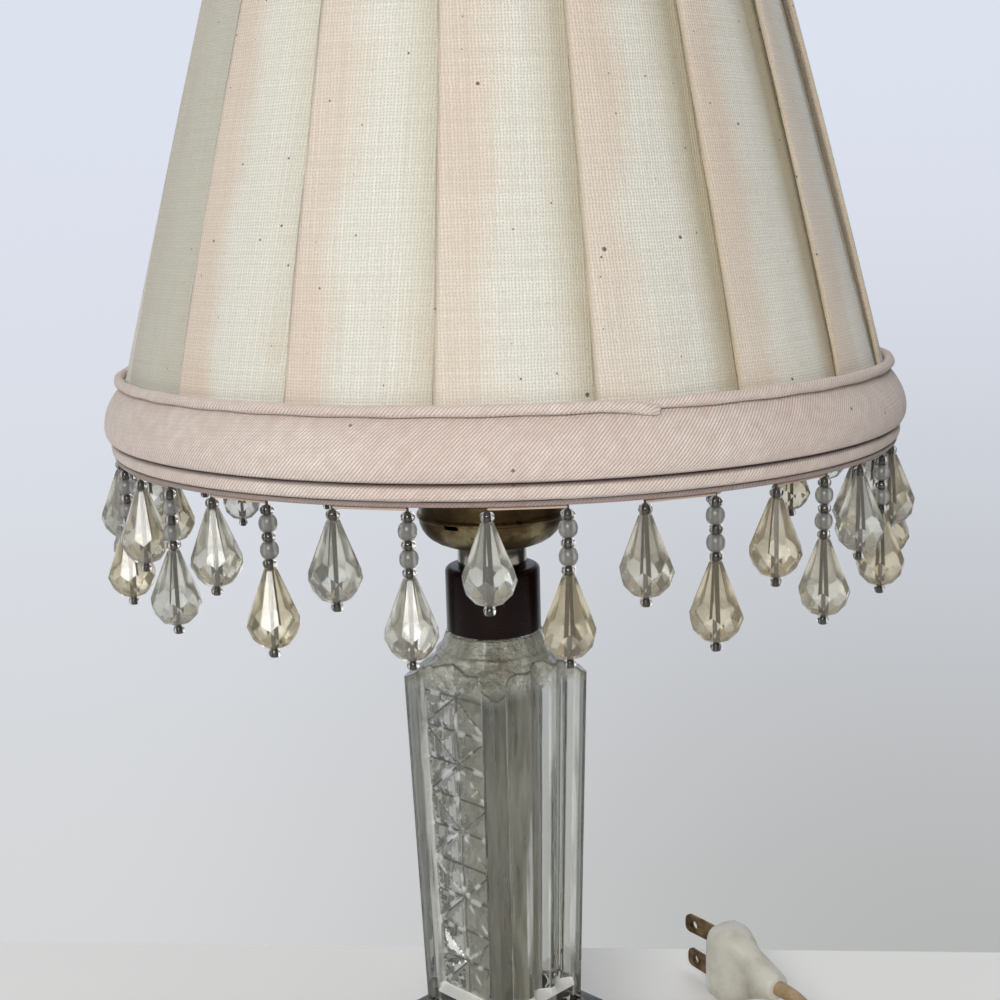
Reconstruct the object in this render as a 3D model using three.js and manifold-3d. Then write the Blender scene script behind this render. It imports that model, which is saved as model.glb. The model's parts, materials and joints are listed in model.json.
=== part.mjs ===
// Boudoir table lamp: a pressed-glass column lamp with a clip-on pleated shade and a beaded fringe.
// Millimetres, +Z up. The origin is on the table under the lamp's axis, and the column stands
// with one corner towards -Y.
import * as THREE from "three";
import { mergeVertices } from "three/addons/utils/BufferGeometryUtils.js";
import Module from "manifold-3d";

const wasm = await Module();
wasm.setup();

// Clearance between pieces that touch
const GAP = 0.3;

// Foot of the glass: felt, slab, step and plinth, each a square laid corner-on
const FELT_THICKNESS = 1.5;
const FELT_INSET = 2;
const SLAB_SIDE = 80;
const SLAB_HEIGHT = 16.2;
const STEP_SIDE = 58;
const STEP_HEIGHT = 12;
const PLINTH_SIDE = 42;
const PLINTH_HEIGHT = 10;
const FOOT_BEVEL = 2.4;
const FOOT_CAVITY_RADIUS = 24;
const FOOT_CAVITY_HEIGHT = 20.5;

// Glass column and its shoulder, ledge and neck
const COLUMN_HEIGHT = 96;
const COLUMN_BOTTOM_SIDE = 31.2;
const COLUMN_TOP_SIDE = 35.8;
const CORNER_FLAT = 1.2;
const SHOULDER_RISE = 6.8;
const LEDGE_RADIUS = 15.6;
const LEDGE_HEIGHT = 1.9;
const GLASS_NECK_RADIUS = 13.2;
const GLASS_NECK_HEIGHT = 4.5;
const GLASS_BORE_RADIUS = 10;
const GLASS_ROUNDING = 0.6;
const NECK_FILLET = 0.9;

// Star panel on one face of the column, fluted panels on the other three
const PANEL_SILL = 8;
const PANEL_MARGIN = 5.8;
const PANEL_DEPTH = 2.4;
const SILL_DROP = 1.8;
const STAR_PITCH = 17.8;
const STAR_RELIEF = 1.5;
const STAR_HEART = 0.5;
const FLUTE_COUNT = 3;
const FLUTE_MARGIN = 4;
const FLUTE_RIB = 1.8;
const FLUTE_DEPTH = 2.6;
const FLUTE_EDGE_DEPTH = 0.9;
const MIDDLE_FLUTE_EXTRA = 0.5;
const FLUTE_ARC_STEPS = 5;

// Threaded pipe and what it draws together
const PIPE_RADIUS = 5.1;
const PIPE_BORE = 3.6;
const PIPE_IN_CAP = 5;
const NUT_ACROSS_FLATS = 15;
const NUT_HEIGHT = 4;
const NUT_LEFT_OVER = 1.5;
const WASHER_RADIUS = 15;
const WASHER_THICKNESS = 1.2;
const COLLAR_RADIUS = 12.7;
const COLLAR_HEIGHT = 17.4;
const COLLAR_ROUND = 1.4;
const NECK_TUBE_RADIUS = 9.25;
const NECK_TUBE_HEIGHT = 5.4;

// Lamp socket
const CAP_HUB_RADIUS = 9.7;
const CAP_SEAM_RADIUS = 19.4;
const CAP_SEAM_RISE = 8.3;
const CAP_HEIGHT = 21;
const CAP_WALL = 0.8;
const CAP_RIB = 0.4;
const CAP_BOWL_OUTSIDE = [[0.55, 0.16], [0.88, 0.5]];
const CAP_BOWL_INSIDE = [[0.8, 0.55], [0.3, 0.25]];
const CAP_SLOT = { width: 4, depth: 8, height: 1.2, azimuth: -32 };
const SHELL_HEIGHT = 40;
const SHELL_WALL = 0.6;
const SHELL_LAP = 4;
const SHELL_BEAD = 0.9;
const SLEEVE_WALL = 0.9;
const SLEEVE_STAND_OUT = 1.6;
const SOCKET_BODY_RISE = 3;
const SOCKET_BODY_HEIGHT = 18;
const SCREW_SHELL_WALL = 0.7;
const SCREW_SHELL_DROP = 4;
const SWITCH_STEM_RADIUS = 1.8;
const SWITCH_STEM_SEAT = 6;
const SWITCH_RISE = 9;
const KNOB_RADIUS = 5.2;
const KNOB_LENGTH = 9;
const KNOB_STAND_OFF = 4;
const KNOB_RIBS = 10;
const KNOB_RIB_DEPTH = 0.7;
const KNOB_OUTLINE = [[0, 0.8], [0.13, 1], [0.83, 0.92], [1, 0.7]];

// Bulb
const BULB_BASE_RADIUS = 13.1;
const BULB_BASE_HEIGHT = 25;
const BULB_RADIUS = 30;
const BULB_LENGTH = 108;
const BULB_WALL = 1;
const BULB_NECK_RADIUS = 12.4;
const BULB_NECK_HEIGHT = 6;
const BULB_NECK_FLARE = 0.6;
const BULB_JOIN_POLAR = 128;
const BULB_ARC_STEPS = 6;
const BULB_CONTACT_RADIUS = 4.5;
const BULB_CONTACT_HEIGHT = 1.6;
const BULB_CONE_HEIGHT = 5.5;

// Bulb clip
const CLIP_WIRE_RADIUS = 0.9;
const CLIP_HEIGHT = 74.7;
const CLIP_LOOP_DROP = 14;
const CLIP_LOOP_SPREAD = 42;
const CLIP_HOLD_OFF = 0.25;
const BARREL_WALL = 1;
const BARREL_LENGTH = 15;

// Shade: radii are those of the pleats' outer folds
const SHADE_HEIGHT = 178;
const SHADE_BOTTOM_RADIUS = 101.2;
const SHADE_TOP_RADIUS = 52.4;
const SHADE_SHIFT = 4.4;
const SPIDER_DROP = 21;
const SPIDER_RADIUS = 1.5;
const SPIDER_BEND_RADIUS = 9;
const RING_INSET = 4.2;
const FRAME_WIRE_RADIUS = 1.2;
const RIB_WIRE_RADIUS = 1.05;
const RIB_COUNT = 6;
const RIB_START = 30;
const LINING_THICKNESS = 0.8;
const CLOTH_THICKNESS = 0.6;
const PLEAT_COUNT = 18;
const PLEAT_DEPTH = 2.4;
const PLEAT_UNDERCUT = 2.6;
const PLEAT_START = -9.3;
const PLEAT_OUTLINE = [[0, 0], [0.2, 0.08], [0.62, 0.5]];
const COVER_HEM = 6;
const LINING_HEM = 0.6;
const SHADE_SIDES = 36;

// Rim band with its two rolls, and the trim at the top
const BAND_HEIGHT = 13.2;
const BAND_BULGE = 3.1;
const LOWER_ROLL_HEIGHT = 4;
const LOWER_ROLL_RADIUS = 100.6;
const UPPER_ROLL_RADIUS = 1.25;
const ROLL_SEAM = 0.9;
const BAND_SHARES = [0.14, 0.4, 0.66, 0.88];
const BAND_LEAN = 0.22;
const TOP_TRIM_HEIGHT = 9;
const TOP_TRIM_BULGE = 1.8;
const TRIM_WALL = 1.4;
const TRIM_ROOF = 2.3;
const TRIM_EDGE = 0.4;

// Beaded fringe: short and long strings in turn, hung in pairs from one thread
const STRING_PAIRS = 19;
const STRING_RADIUS = 98.6;
const STRING_START = -2.9;
const THREAD_RADIUS = 0.45;
const BEAD_NECK = 0.7;
const TAPE_WIDTH = 2.6;
const TAPE_THICKNESS = 1.1;
const SEED = { radius: 1.5, length: 2.1 };
const ROUND_BEAD = { radius: 2.1, length: 4.2 };
const DROP = { radius: 5.75, length: 17.5, outline: [[0.68, 1], [0.88, 0.74], [1, 0.2]] };
const KNOB_BEAD = { radius: 1.3, length: 2 };
const BEAD_SIDES = 6;

// Cord: its free stretches are points chosen by hand, and its coil's turns are worked out
const CORD_RADIUS = 2.4;
const CORD_HOLE_HEIGHT = 7;
const BUSHING_RADIUS = 4.2;
const BUSHING_NOSE = 22;
const BUSHING_FLANGE = { proud: 1.5, thickness: 1.6 };
const BUSHING_TIP_WALL = 0.7;
const BUSHING_INSIDE = 1;
const COIL_CENTRE = [97, -33];
const COIL_OUTER_RADIUS = 39.5;
const COIL_PITCH = 5.25;
const COIL_START = 180;
const COIL_END = 33.2;
const COIL_WHOLE_TURNS = 7;
const COIL_LAYER = 5.3;
const TURN_STEPS = 19;
const CORD_IN_SOCKET = 3;

// Plug: lies on edge behind the lamp to the right
const PLUG_FACE = [72.7, 76, 12.6];
const PLUG_BEARING = 123.3;
const PLUG_WIDTH = 25;
const PLUG_THICKNESS = 15;
const PLUG_LENGTH = 27;
const PLUG_CORNER_CUT = 0.45;
// Shares of the length, the half width and the half thickness, from the rear end to the face
const PLUG_OUTLINE = [
  [0, 0.34, 0.62],
  [0.2, 0.44, 0.7],
  [0.42, 0.66, 0.62],
  [0.66, 0.94, 0.86],
  [0.78, 1, 1],
  [1, 1, 1],
];
const BLADE_SPACING = 12.7;
const BLADE = { width: 6.3, thickness: 1.5, length: 17, rooted: 8 };

const radians = THREE.MathUtils.degToRad;
const lerp = THREE.MathUtils.lerp;

// How far a cutter runs past the solid that it cuts
const OVERRUN = 1;

// Ways of making solids

// A geometry as a solid: only its corners count, and shared ones are merged.
function solid(geometry) {
  const bare = geometry.index ? geometry.toNonIndexed() : geometry.clone();
  bare.deleteAttribute("normal");
  bare.deleteAttribute("uv");
  const merged = mergeVertices(bare, 1e-4);
  return new wasm.Manifold(
    new wasm.Mesh({
      numProp: 3,
      vertProperties: merged.attributes.position.array,
      triVerts: new Uint32Array(merged.index.array),
    }),
  );
}

function geometryOf(made) {
  const { vertProperties, triVerts } = made.getMesh();
  const geometry = new THREE.BufferGeometry();
  geometry.setAttribute("position", new THREE.BufferAttribute(vertProperties, 3));
  geometry.setIndex(new THREE.BufferAttribute(triVerts, 1));
  return geometry;
}

// Profile of [radius, height] points, turned about +Z. It closes on itself unless both ends are on
// the axis, and runs with the material on its left as the radius is drawn to the right.
function turned(profile, sides = 26) {
  const points = profile.map(([radius, height]) => new THREE.Vector2(radius, height));
  const onAxis = points[0].x === 0 && points.at(-1).x === 0;
  if (!onAxis) points.push(points[0].clone());
  return new THREE.LatheGeometry(points, sides).rotateX(Math.PI / 2);
}

// Rings of the same number of points, each drawn anticlockwise seen from the last ring's side.
function lofted(rings) {
  const count = rings[0].length;
  const positions = rings.flat().flatMap((point) => [point.x, point.y, point.z]);
  const faces = [];
  for (let level = 0; level + 1 < rings.length; level++) {
    for (let i = 0; i < count; i++) {
      const low = level * count;
      const next = (i + 1) % count;
      faces.push(low + i, low + next, low + count + next);
      faces.push(low + i, low + count + next, low + count + i);
    }
  }
  const flat = (ring) => ring.map((point) => new THREE.Vector2(point.x, point.y));
  const last = (rings.length - 1) * count;
  for (const [a, b, c] of THREE.ShapeUtils.triangulateShape(flat(rings[0]), [])) faces.push(c, b, a);
  for (const [a, b, c] of THREE.ShapeUtils.triangulateShape(flat(rings.at(-1)), [])) {
    faces.push(last + a, last + b, last + c);
  }
  const geometry = new THREE.BufferGeometry();
  geometry.setAttribute("position", new THREE.Float32BufferAttribute(positions, 3));
  geometry.setIndex(faces);
  return geometry;
}

function roundSection(radius, sides) {
  const shape = new THREE.Shape();
  for (let i = 0; i < sides; i++) {
    const angle = (2 * Math.PI * (i + 0.5)) / sides;
    const point = [radius * Math.cos(angle), radius * Math.sin(angle)];
    if (i === 0) shape.moveTo(...point);
    else shape.lineTo(...point);
  }
  shape.closePath();
  return shape;
}

function tube(points, radius, sides, steps) {
  const curve = new THREE.CatmullRomCurve3(points.map((point) => new THREE.Vector3(...point)));
  return new THREE.ExtrudeGeometry(roundSection(radius, sides), { steps, extrudePath: curve });
}

function straightTube(from, to, radius, sides) {
  const curve = new THREE.LineCurve3(new THREE.Vector3(...from), new THREE.Vector3(...to));
  return new THREE.ExtrudeGeometry(roundSection(radius, sides), { steps: 1, extrudePath: curve });
}

// Circle of wire or piping lying level
function wireRing(radius, height, wireRadius) {
  const sectionSides = 4;
  const profile = [];
  for (let i = 0; i < sectionSides; i++) {
    const angle = (2 * Math.PI * i) / sectionSides;
    profile.push([radius + wireRadius * Math.cos(angle), height + wireRadius * Math.sin(angle)]);
  }
  return turned(profile, SHADE_SIDES);
}

// Square of a given side laid corner-on, its corners cut flat
function cornerOnSquare(side, flat, height) {
  const reach = side / Math.SQRT2;
  const cut = flat / 2;
  const points = [];
  for (let i = 0; i < 4; i++) {
    const angle = (i * Math.PI) / 2 - Math.PI / 2;
    const along = new THREE.Vector3(Math.cos(angle), Math.sin(angle), 0);
    const across = new THREE.Vector3(-Math.sin(angle), Math.cos(angle), 0);
    for (const turn of [-cut, cut]) {
      const point = along.clone().multiplyScalar(reach - cut).addScaledVector(across, turn);
      points.push(point.setZ(height));
    }
  }
  return points;
}

const lamp = new THREE.Group();

// The shade has slid a little to the right along the cross wire, in the barrel of the clip
const shade = new THREE.Group();
shade.position.x = SHADE_SHIFT;
lamp.add(shade);

function place(name, geometry, finish, parent = lamp) {
  const mesh = new THREE.Mesh(geometry, new THREE.MeshStandardMaterial(finish));
  mesh.name = name;
  parent.add(mesh);
  return mesh;
}

const FINISH = {
  felt: { color: 0x4a3b2c, roughness: 1, metalness: 0 },
  glass: { color: 0xdfe6df, roughness: 0.05, metalness: 0, transparent: true, opacity: 0.4 },
  zinc: { color: 0x9a9a94, roughness: 0.4, metalness: 0.9 },
  collar: { color: 0x1e0808, roughness: 0.25, metalness: 0 },
  steel: { color: 0x8f8d88, roughness: 0.2, metalness: 1 },
  brass: { color: 0x786e50, roughness: 0.35, metalness: 0.9 },
  card: { color: 0x8a7658, roughness: 0.9, metalness: 0 },
  porcelain: { color: 0xd9d4c8, roughness: 0.3, metalness: 0 },
  knob: { color: 0x1c130d, roughness: 0.3, metalness: 0 },
  bulb: { color: 0xf1eee6, roughness: 0.25, metalness: 0 },
  wire: { color: 0xb9a778, roughness: 0.35, metalness: 0.9 },
  lining: { color: 0xefe9dd, roughness: 0.8, metalness: 0 },
  cloth: { color: 0xe6e1d4, roughness: 0.9, metalness: 0 },
  band: { color: 0xdec4ba, roughness: 0.95, metalness: 0 },
  beads: { color: 0xe4ded0, roughness: 0.08, metalness: 0, transparent: true, opacity: 0.6 },
  cord: { color: 0xb89a72, roughness: 0.6, metalness: 0 },
  plug: { color: 0xd7d7d0, roughness: 0.4, metalness: 0 },
  blade: { color: 0x463228, roughness: 0.5, metalness: 0.8 },
};

// Heights, stacked from the table up
const slabBottom = FELT_THICKNESS + GAP;
const slabTop = slabBottom + SLAB_HEIGHT;
const stepTop = slabTop + STEP_HEIGHT;
const columnBottom = stepTop + PLINTH_HEIGHT;
const columnTop = columnBottom + COLUMN_HEIGHT;
const ledgeBottom = columnTop + SHOULDER_RISE;
const ledgeTop = ledgeBottom + LEDGE_HEIGHT;
const glassTop = ledgeTop + GLASS_NECK_HEIGHT;
const cavityTop = FOOT_CAVITY_HEIGHT + FELT_THICKNESS;
const collarBottom = glassTop + GAP;
const collarTop = collarBottom + COLLAR_HEIGHT;
const neckTubeTop = collarTop + GAP + NECK_TUBE_HEIGHT;
const capBottom = neckTubeTop + GAP;
const capSeam = capBottom + CAP_SEAM_RISE;
const capTop = capBottom + CAP_HEIGHT;
const shellBottom = capTop - SHELL_LAP;
const shellTop = shellBottom + SHELL_HEIGHT;
const socketBodyBottom = capSeam + SOCKET_BODY_RISE;
const socketBodyTop = socketBodyBottom + SOCKET_BODY_HEIGHT;
const bulbBottom = socketBodyTop + 2 * GAP;
const bulbBaseTop = bulbBottom + BULB_BASE_HEIGHT;
const bulbCentre = bulbBottom + BULB_LENGTH - BULB_RADIUS;
const crossWire = bulbCentre + CLIP_HEIGHT;
const shadeTop = crossWire + SPIDER_DROP + RING_INSET;
const shadeBottom = shadeTop - SHADE_HEIGHT;

// Glass body

function columnSide(height) {
  const share = (height - columnBottom) / COLUMN_HEIGHT;
  return lerp(COLUMN_BOTTOM_SIDE, COLUMN_TOP_SIDE, share);
}

// Point on a face of the column: across and up the face, and sunk below it. The face is drawn
// square to -Y and turned into place afterwards.
function onFace(across, height, sunk) {
  return new THREE.Vector3(across, -columnSide(height) / 2 + sunk, height);
}

const panelBottom = columnBottom + PANEL_SILL;
const panelTop = ledgeBottom + GAP;
const CUTTER_PROUD = 3;

// Stars: in each cell a heart in the middle, rays out to the edges, and a small pyramid between rays
function starCutter() {
  const count = Math.round((panelTop - panelBottom) / STAR_PITCH);
  const half = (panelTop - panelBottom) / count / 2;
  const edgeAt = (height) => columnSide(height) / 2 - PANEL_MARGIN;
  const positions = [];
  const faces = [];
  const add = (point) => positions.push(point.x, point.y, point.z) / 3 - 1;
  const columns = [-1, 0, 1].map((side) => {
    const indices = [];
    for (let row = 0; row <= 2 * count; row++) {
      const height = panelBottom + row * half;
      const heart = side === 0 && row % 2 === 1 ? STAR_HEART : 0;
      indices.push(add(onFace(side * edgeAt(height), height, PANEL_DEPTH + heart)));
    }
    return indices;
  });
  const corner = (index) => new THREE.Vector3().fromArray(positions, 3 * index);
  const pyramid = (a, b, c) => {
    const peak = corner(a).add(corner(b)).add(corner(c)).divideScalar(3);
    peak.y -= STAR_RELIEF;
    const top = add(peak);
    faces.push(a, top, b, b, top, c, c, top, a);
  };
  const [left, middle, right] = columns;
  for (let cell = 0; cell < count; cell++) {
    const low = 2 * cell;
    const mid = low + 1;
    const high = low + 2;
    pyramid(middle[low], middle[mid], left[low]);
    pyramid(left[low], middle[mid], left[mid]);
    pyramid(left[mid], middle[mid], left[high]);
    pyramid(left[high], middle[mid], middle[high]);
    pyramid(middle[mid], middle[low], right[low]);
    pyramid(middle[mid], right[low], right[mid]);
    pyramid(middle[mid], right[mid], right[high]);
    pyramid(middle[high], middle[mid], right[high]);
  }
  const border = [...right, middle.at(-1), ...left.toReversed(), middle[0]];
  const front = border.map((index) => {
    const point = corner(index);
    point.y -= PANEL_DEPTH + CUTTER_PROUD;
    if (point.z < panelBottom + GAP) point.z -= SILL_DROP;
    return add(point);
  });
  border.forEach((index, i) => {
    const next = (i + 1) % border.length;
    faces.push(index, border[next], front[next], index, front[next], front[i]);
  });
  const outline = front.map((index) => new THREE.Vector2(corner(index).x, corner(index).z));
  for (const [a, b, c] of THREE.ShapeUtils.triangulateShape(outline, [])) {
    faces.push(front[a], front[b], front[c]);
  }
  const geometry = new THREE.BufferGeometry();
  geometry.setAttribute("position", new THREE.Float32BufferAttribute(positions, 3));
  geometry.setIndex(faces);
  return geometry;
}

// Flutes: round-bottomed channels with flat ribs between them
function fluteCutter() {
  const section = (height) => {
    const half = columnSide(height) / 2 - FLUTE_MARGIN;
    const width = (2 * half - (FLUTE_COUNT - 1) * FLUTE_RIB) / FLUTE_COUNT;
    const floor = [];
    for (let flute = 0; flute < FLUTE_COUNT; flute++) {
      const start = -half + flute * (width + FLUTE_RIB);
      for (let step = 0; step <= FLUTE_ARC_STEPS; step++) {
        const share = step / FLUTE_ARC_STEPS;
        const outermost = flute === 0 || flute === FLUTE_COUNT - 1;
        const sunk = outermost ? FLUTE_DEPTH : FLUTE_DEPTH + MIDDLE_FLUTE_EXTRA;
        const depth = lerp(FLUTE_EDGE_DEPTH, sunk, Math.sin(Math.PI * share));
        floor.push([start + width * share, depth]);
      }
    }
    return { floor, half };
  };
  const ring = (height, drop) => {
    const { floor, half } = section(height);
    const proud = -CUTTER_PROUD;
    const front = [onFace(-half, height, proud), onFace(half, height, proud)];
    const back = floor.toReversed().map(([across, depth]) => onFace(across, height, depth));
    front.forEach((point) => (point.z -= drop));
    return [...front, ...back];
  };
  return lofted([ring(panelBottom, SILL_DROP), ring(panelTop, 0)]);
}

function footTier(side, bottom, top, bevel) {
  const flat = 2 * bevel;
  return solid(
    lofted([
      cornerOnSquare(side, flat, bottom),
      cornerOnSquare(side, flat, top - bevel),
      cornerOnSquare(side - 2 * bevel, flat, top),
    ]),
  );
}

function glassBody() {
  const column = solid(
    lofted([
      cornerOnSquare(COLUMN_BOTTOM_SIDE, CORNER_FLAT, columnBottom - GAP),
      cornerOnSquare(columnSide(ledgeTop), CORNER_FLAT, ledgeTop),
    ]),
  );
  const cornerReach = COLUMN_TOP_SIDE / Math.SQRT2;
  const slope = SHOULDER_RISE / (cornerReach - LEDGE_RADIUS);
  const skirt = cornerReach + OVERRUN;
  const shoulder = solid(
    turned(
      [
        [0, columnBottom - OVERRUN],
        [skirt, columnBottom - OVERRUN],
        [skirt, columnTop - slope * (skirt - cornerReach)],
        [LEDGE_RADIUS, ledgeBottom],
        [0, ledgeBottom],
      ],
      36,
    ),
  );
  let body = column.intersect(shoulder);
  const starPanel = solid(starCutter());
  const flutedPanel = solid(fluteCutter());
  for (let face = 0; face < 4; face++) {
    const cutter = face === 0 ? starPanel : flutedPanel;
    body = body.subtract(cutter.rotate([0, 0, -45 + 90 * face]));
  }
  const neck = turned(
    [
      [0, ledgeBottom - OVERRUN],
      [LEDGE_RADIUS, ledgeBottom - OVERRUN],
      [LEDGE_RADIUS, ledgeTop - GLASS_ROUNDING],
      [LEDGE_RADIUS - GLASS_ROUNDING, ledgeTop],
      [GLASS_NECK_RADIUS + GLASS_ROUNDING, ledgeTop],
      [GLASS_NECK_RADIUS, ledgeTop + NECK_FILLET],
      [GLASS_NECK_RADIUS, glassTop - GLASS_ROUNDING],
      [GLASS_NECK_RADIUS - GLASS_ROUNDING, glassTop],
      [0, glassTop],
    ],
    24,
  );
  body = body
    .add(solid(neck))
    .add(footTier(SLAB_SIDE, slabBottom, slabTop, FOOT_BEVEL))
    .add(footTier(STEP_SIDE, slabTop - OVERRUN, stepTop, FOOT_BEVEL))
    .add(footTier(PLINTH_SIDE, stepTop - OVERRUN, columnBottom, FOOT_BEVEL));
  const hollow = turned(
    [
      [0, 0],
      [FOOT_CAVITY_RADIUS, 0],
      [FOOT_CAVITY_RADIUS, cavityTop],
      [GLASS_BORE_RADIUS, cavityTop],
      [GLASS_BORE_RADIUS, glassTop + OVERRUN],
      [0, glassTop + OVERRUN],
    ],
    24,
  );
  const hole = straightTube(
    exitAt(FOOT_CAVITY_RADIUS - BUSHING_INSIDE - OVERRUN),
    exitAt(SLAB_SIDE / 2 + OVERRUN),
    BUSHING_RADIUS + GAP,
    12,
  );
  return geometryOf(body.subtract(solid(hollow)).subtract(solid(hole)));
}

// Point on the line along which the cord leaves the foot, square to its back right face
function exitAt(distance, height = CORD_HOLE_HEIGHT) {
  return [distance * Math.SQRT1_2, distance * Math.SQRT1_2, height];
}

place("glass_body", glassBody(), FINISH.glass);
place(
  "felt_pad",
  lofted([
    cornerOnSquare(SLAB_SIDE - 2 * FELT_INSET, FOOT_BEVEL, 0),
    cornerOnSquare(SLAB_SIDE - 2 * FELT_INSET, FOOT_BEVEL, FELT_THICKNESS),
  ]),
  FINISH.felt,
);

// Pipe, nut, washer, collar and neck tube

const washerBottom = cavityTop - GAP - WASHER_THICKNESS;
const nutBottom = washerBottom - GAP - NUT_HEIGHT;
const pipeBottom = nutBottom - NUT_LEFT_OVER;
const pipeTop = capBottom + CAP_WALL + PIPE_IN_CAP;

function sleeve(inner, outer, bottom, top, sides) {
  return turned(
    [
      [inner, bottom],
      [outer, bottom],
      [outer, top],
      [inner, top],
    ],
    sides,
  );
}

place("threaded_pipe", sleeve(PIPE_BORE, PIPE_RADIUS, pipeBottom, pipeTop, 20), FINISH.zinc);
place(
  "foot_washer",
  sleeve(PIPE_RADIUS + GAP, WASHER_RADIUS, washerBottom, washerBottom + WASHER_THICKNESS, 24),
  FINISH.zinc,
);

const nutBlank = new THREE.CylinderGeometry(
  NUT_ACROSS_FLATS / Math.sqrt(3),
  NUT_ACROSS_FLATS / Math.sqrt(3),
  NUT_HEIGHT,
  6,
);
nutBlank.rotateX(Math.PI / 2).translate(0, 0, nutBottom + NUT_HEIGHT / 2);
const nutTop = nutBottom + NUT_HEIGHT;
const nutBore = sleeve(0, PIPE_RADIUS + GAP, nutBottom - OVERRUN, nutTop + OVERRUN, 20);
place("foot_nut", geometryOf(solid(nutBlank).subtract(solid(nutBore))), FINISH.zinc);

place(
  "collar",
  turned([
    [PIPE_RADIUS + GAP, collarBottom],
    [COLLAR_RADIUS, collarBottom],
    [COLLAR_RADIUS, collarTop - COLLAR_ROUND],
    [COLLAR_RADIUS - COLLAR_ROUND * 0.3, collarTop - COLLAR_ROUND * 0.3],
    [COLLAR_RADIUS - COLLAR_ROUND, collarTop],
    [PIPE_RADIUS + GAP, collarTop],
  ]),
  FINISH.collar,
);
place(
  "neck_tube",
  sleeve(PIPE_RADIUS + GAP, NECK_TUBE_RADIUS, collarTop + GAP, neckTubeTop, 24),
  FINISH.steel,
);

// Socket: cap, shell, sleeve, body, screw shell and switch knob

const capInner = CAP_SEAM_RADIUS - CAP_WALL;
const shellRadius = capInner - GAP;
const sleeveRadius = shellRadius - SHELL_WALL - GAP;
const socketBodyRadius = sleeveRadius - SLEEVE_WALL - GAP;
const screwShellInner = BULB_BASE_RADIUS + GAP;
const switchHeight = socketBodyBottom + SWITCH_RISE;
const switchHole = straightTube(
  [0, 0, switchHeight],
  [CAP_SEAM_RADIUS + CAP_RIB + OVERRUN, 0, switchHeight],
  SWITCH_STEM_RADIUS + GAP,
  10,
);

function socketCap() {
  const bowl = (shares, radius) =>
    shares.map(([out, up]) => [lerp(CAP_HUB_RADIUS, radius, out), lerp(capBottom, capSeam, up)]);
  const outer = [
    [PIPE_RADIUS + GAP, capBottom],
    [CAP_HUB_RADIUS, capBottom],
    ...bowl(CAP_BOWL_OUTSIDE, CAP_SEAM_RADIUS),
    [CAP_SEAM_RADIUS, capSeam - 2 * CAP_RIB],
    [CAP_SEAM_RADIUS + CAP_RIB, capSeam],
    [CAP_SEAM_RADIUS, capSeam + 2 * CAP_RIB],
    [CAP_SEAM_RADIUS, capTop],
  ];
  const inner = [
    [capInner, capTop],
    [capInner, capSeam],
    ...bowl(CAP_BOWL_INSIDE, capInner),
    [PIPE_RADIUS + GAP, capBottom + 2 * CAP_WALL],
  ];
  const slot = new THREE.BoxGeometry(CAP_SLOT.width, CAP_SLOT.depth, CAP_SLOT.height);
  slot.translate(0, -CAP_SEAM_RADIUS, capSeam - CAP_WALL).rotateZ(radians(CAP_SLOT.azimuth));
  return geometryOf(
    solid(turned([...outer, ...inner], 24))
      .subtract(solid(slot))
      .subtract(solid(switchHole)),
  );
}

place("socket_cap", socketCap(), FINISH.brass);
place(
  "socket_shell",
  geometryOf(
    solid(
      turned([
        [shellRadius - SHELL_WALL, shellBottom],
        [shellRadius, shellBottom],
        [shellRadius, shellTop - 2 * SHELL_BEAD],
        [shellRadius + SHELL_BEAD, shellTop - SHELL_BEAD],
        [shellRadius, shellTop],
        [shellRadius - SHELL_WALL, shellTop],
      ]),
    ).subtract(solid(switchHole)),
  ),
  FINISH.brass,
);
place(
  "socket_sleeve",
  geometryOf(
    solid(
      sleeve(
        sleeveRadius - SLEEVE_WALL,
        sleeveRadius,
        shellBottom + GAP,
        shellTop + SLEEVE_STAND_OUT,
        24,
      ),
    ).subtract(solid(switchHole)),
  ),
  FINISH.card,
);

const stemInner = socketBodyRadius - SWITCH_STEM_SEAT;
const stemSeat = straightTube(
  [stemInner - GAP, 0, switchHeight],
  [CAP_SEAM_RADIUS, 0, switchHeight],
  SWITCH_STEM_RADIUS + GAP,
  10,
);
place(
  "socket_body",
  geometryOf(
    solid(sleeve(0, socketBodyRadius, socketBodyBottom, socketBodyTop, 24)).subtract(
      solid(stemSeat),
    ),
  ),
  FINISH.porcelain,
);
place(
  "screw_shell",
  sleeve(
    screwShellInner,
    screwShellInner + SCREW_SHELL_WALL,
    socketBodyTop + GAP,
    shellTop - SCREW_SHELL_DROP,
    24,
  ),
  FINISH.brass,
);

function switchKnob() {
  const knobStart = CAP_SEAM_RADIUS + KNOB_STAND_OFF;
  const stem = straightTube(
    [stemInner, 0, switchHeight],
    [knobStart + OVERRUN, 0, switchHeight],
    SWITCH_STEM_RADIUS,
    10,
  );
  const rim = [];
  for (let i = 0; i < 2 * KNOB_RIBS; i++) {
    const angle = (Math.PI * i) / KNOB_RIBS;
    const radius = i % 2 === 0 ? KNOB_RADIUS : KNOB_RADIUS - KNOB_RIB_DEPTH;
    rim.push([radius * Math.cos(angle), radius * Math.sin(angle)]);
  }
  const ring = ([along, share]) =>
    rim.map(([x, y]) => new THREE.Vector3(x * share, y * share, along * KNOB_LENGTH));
  const head = lofted(KNOB_OUTLINE.map(ring));
  head.rotateY(Math.PI / 2).translate(knobStart, 0, switchHeight);
  return geometryOf(solid(stem).add(solid(head)));
}

place("switch_knob", switchKnob(), FINISH.knob);

// Bulb: envelope open at its neck, and screw base

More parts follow.
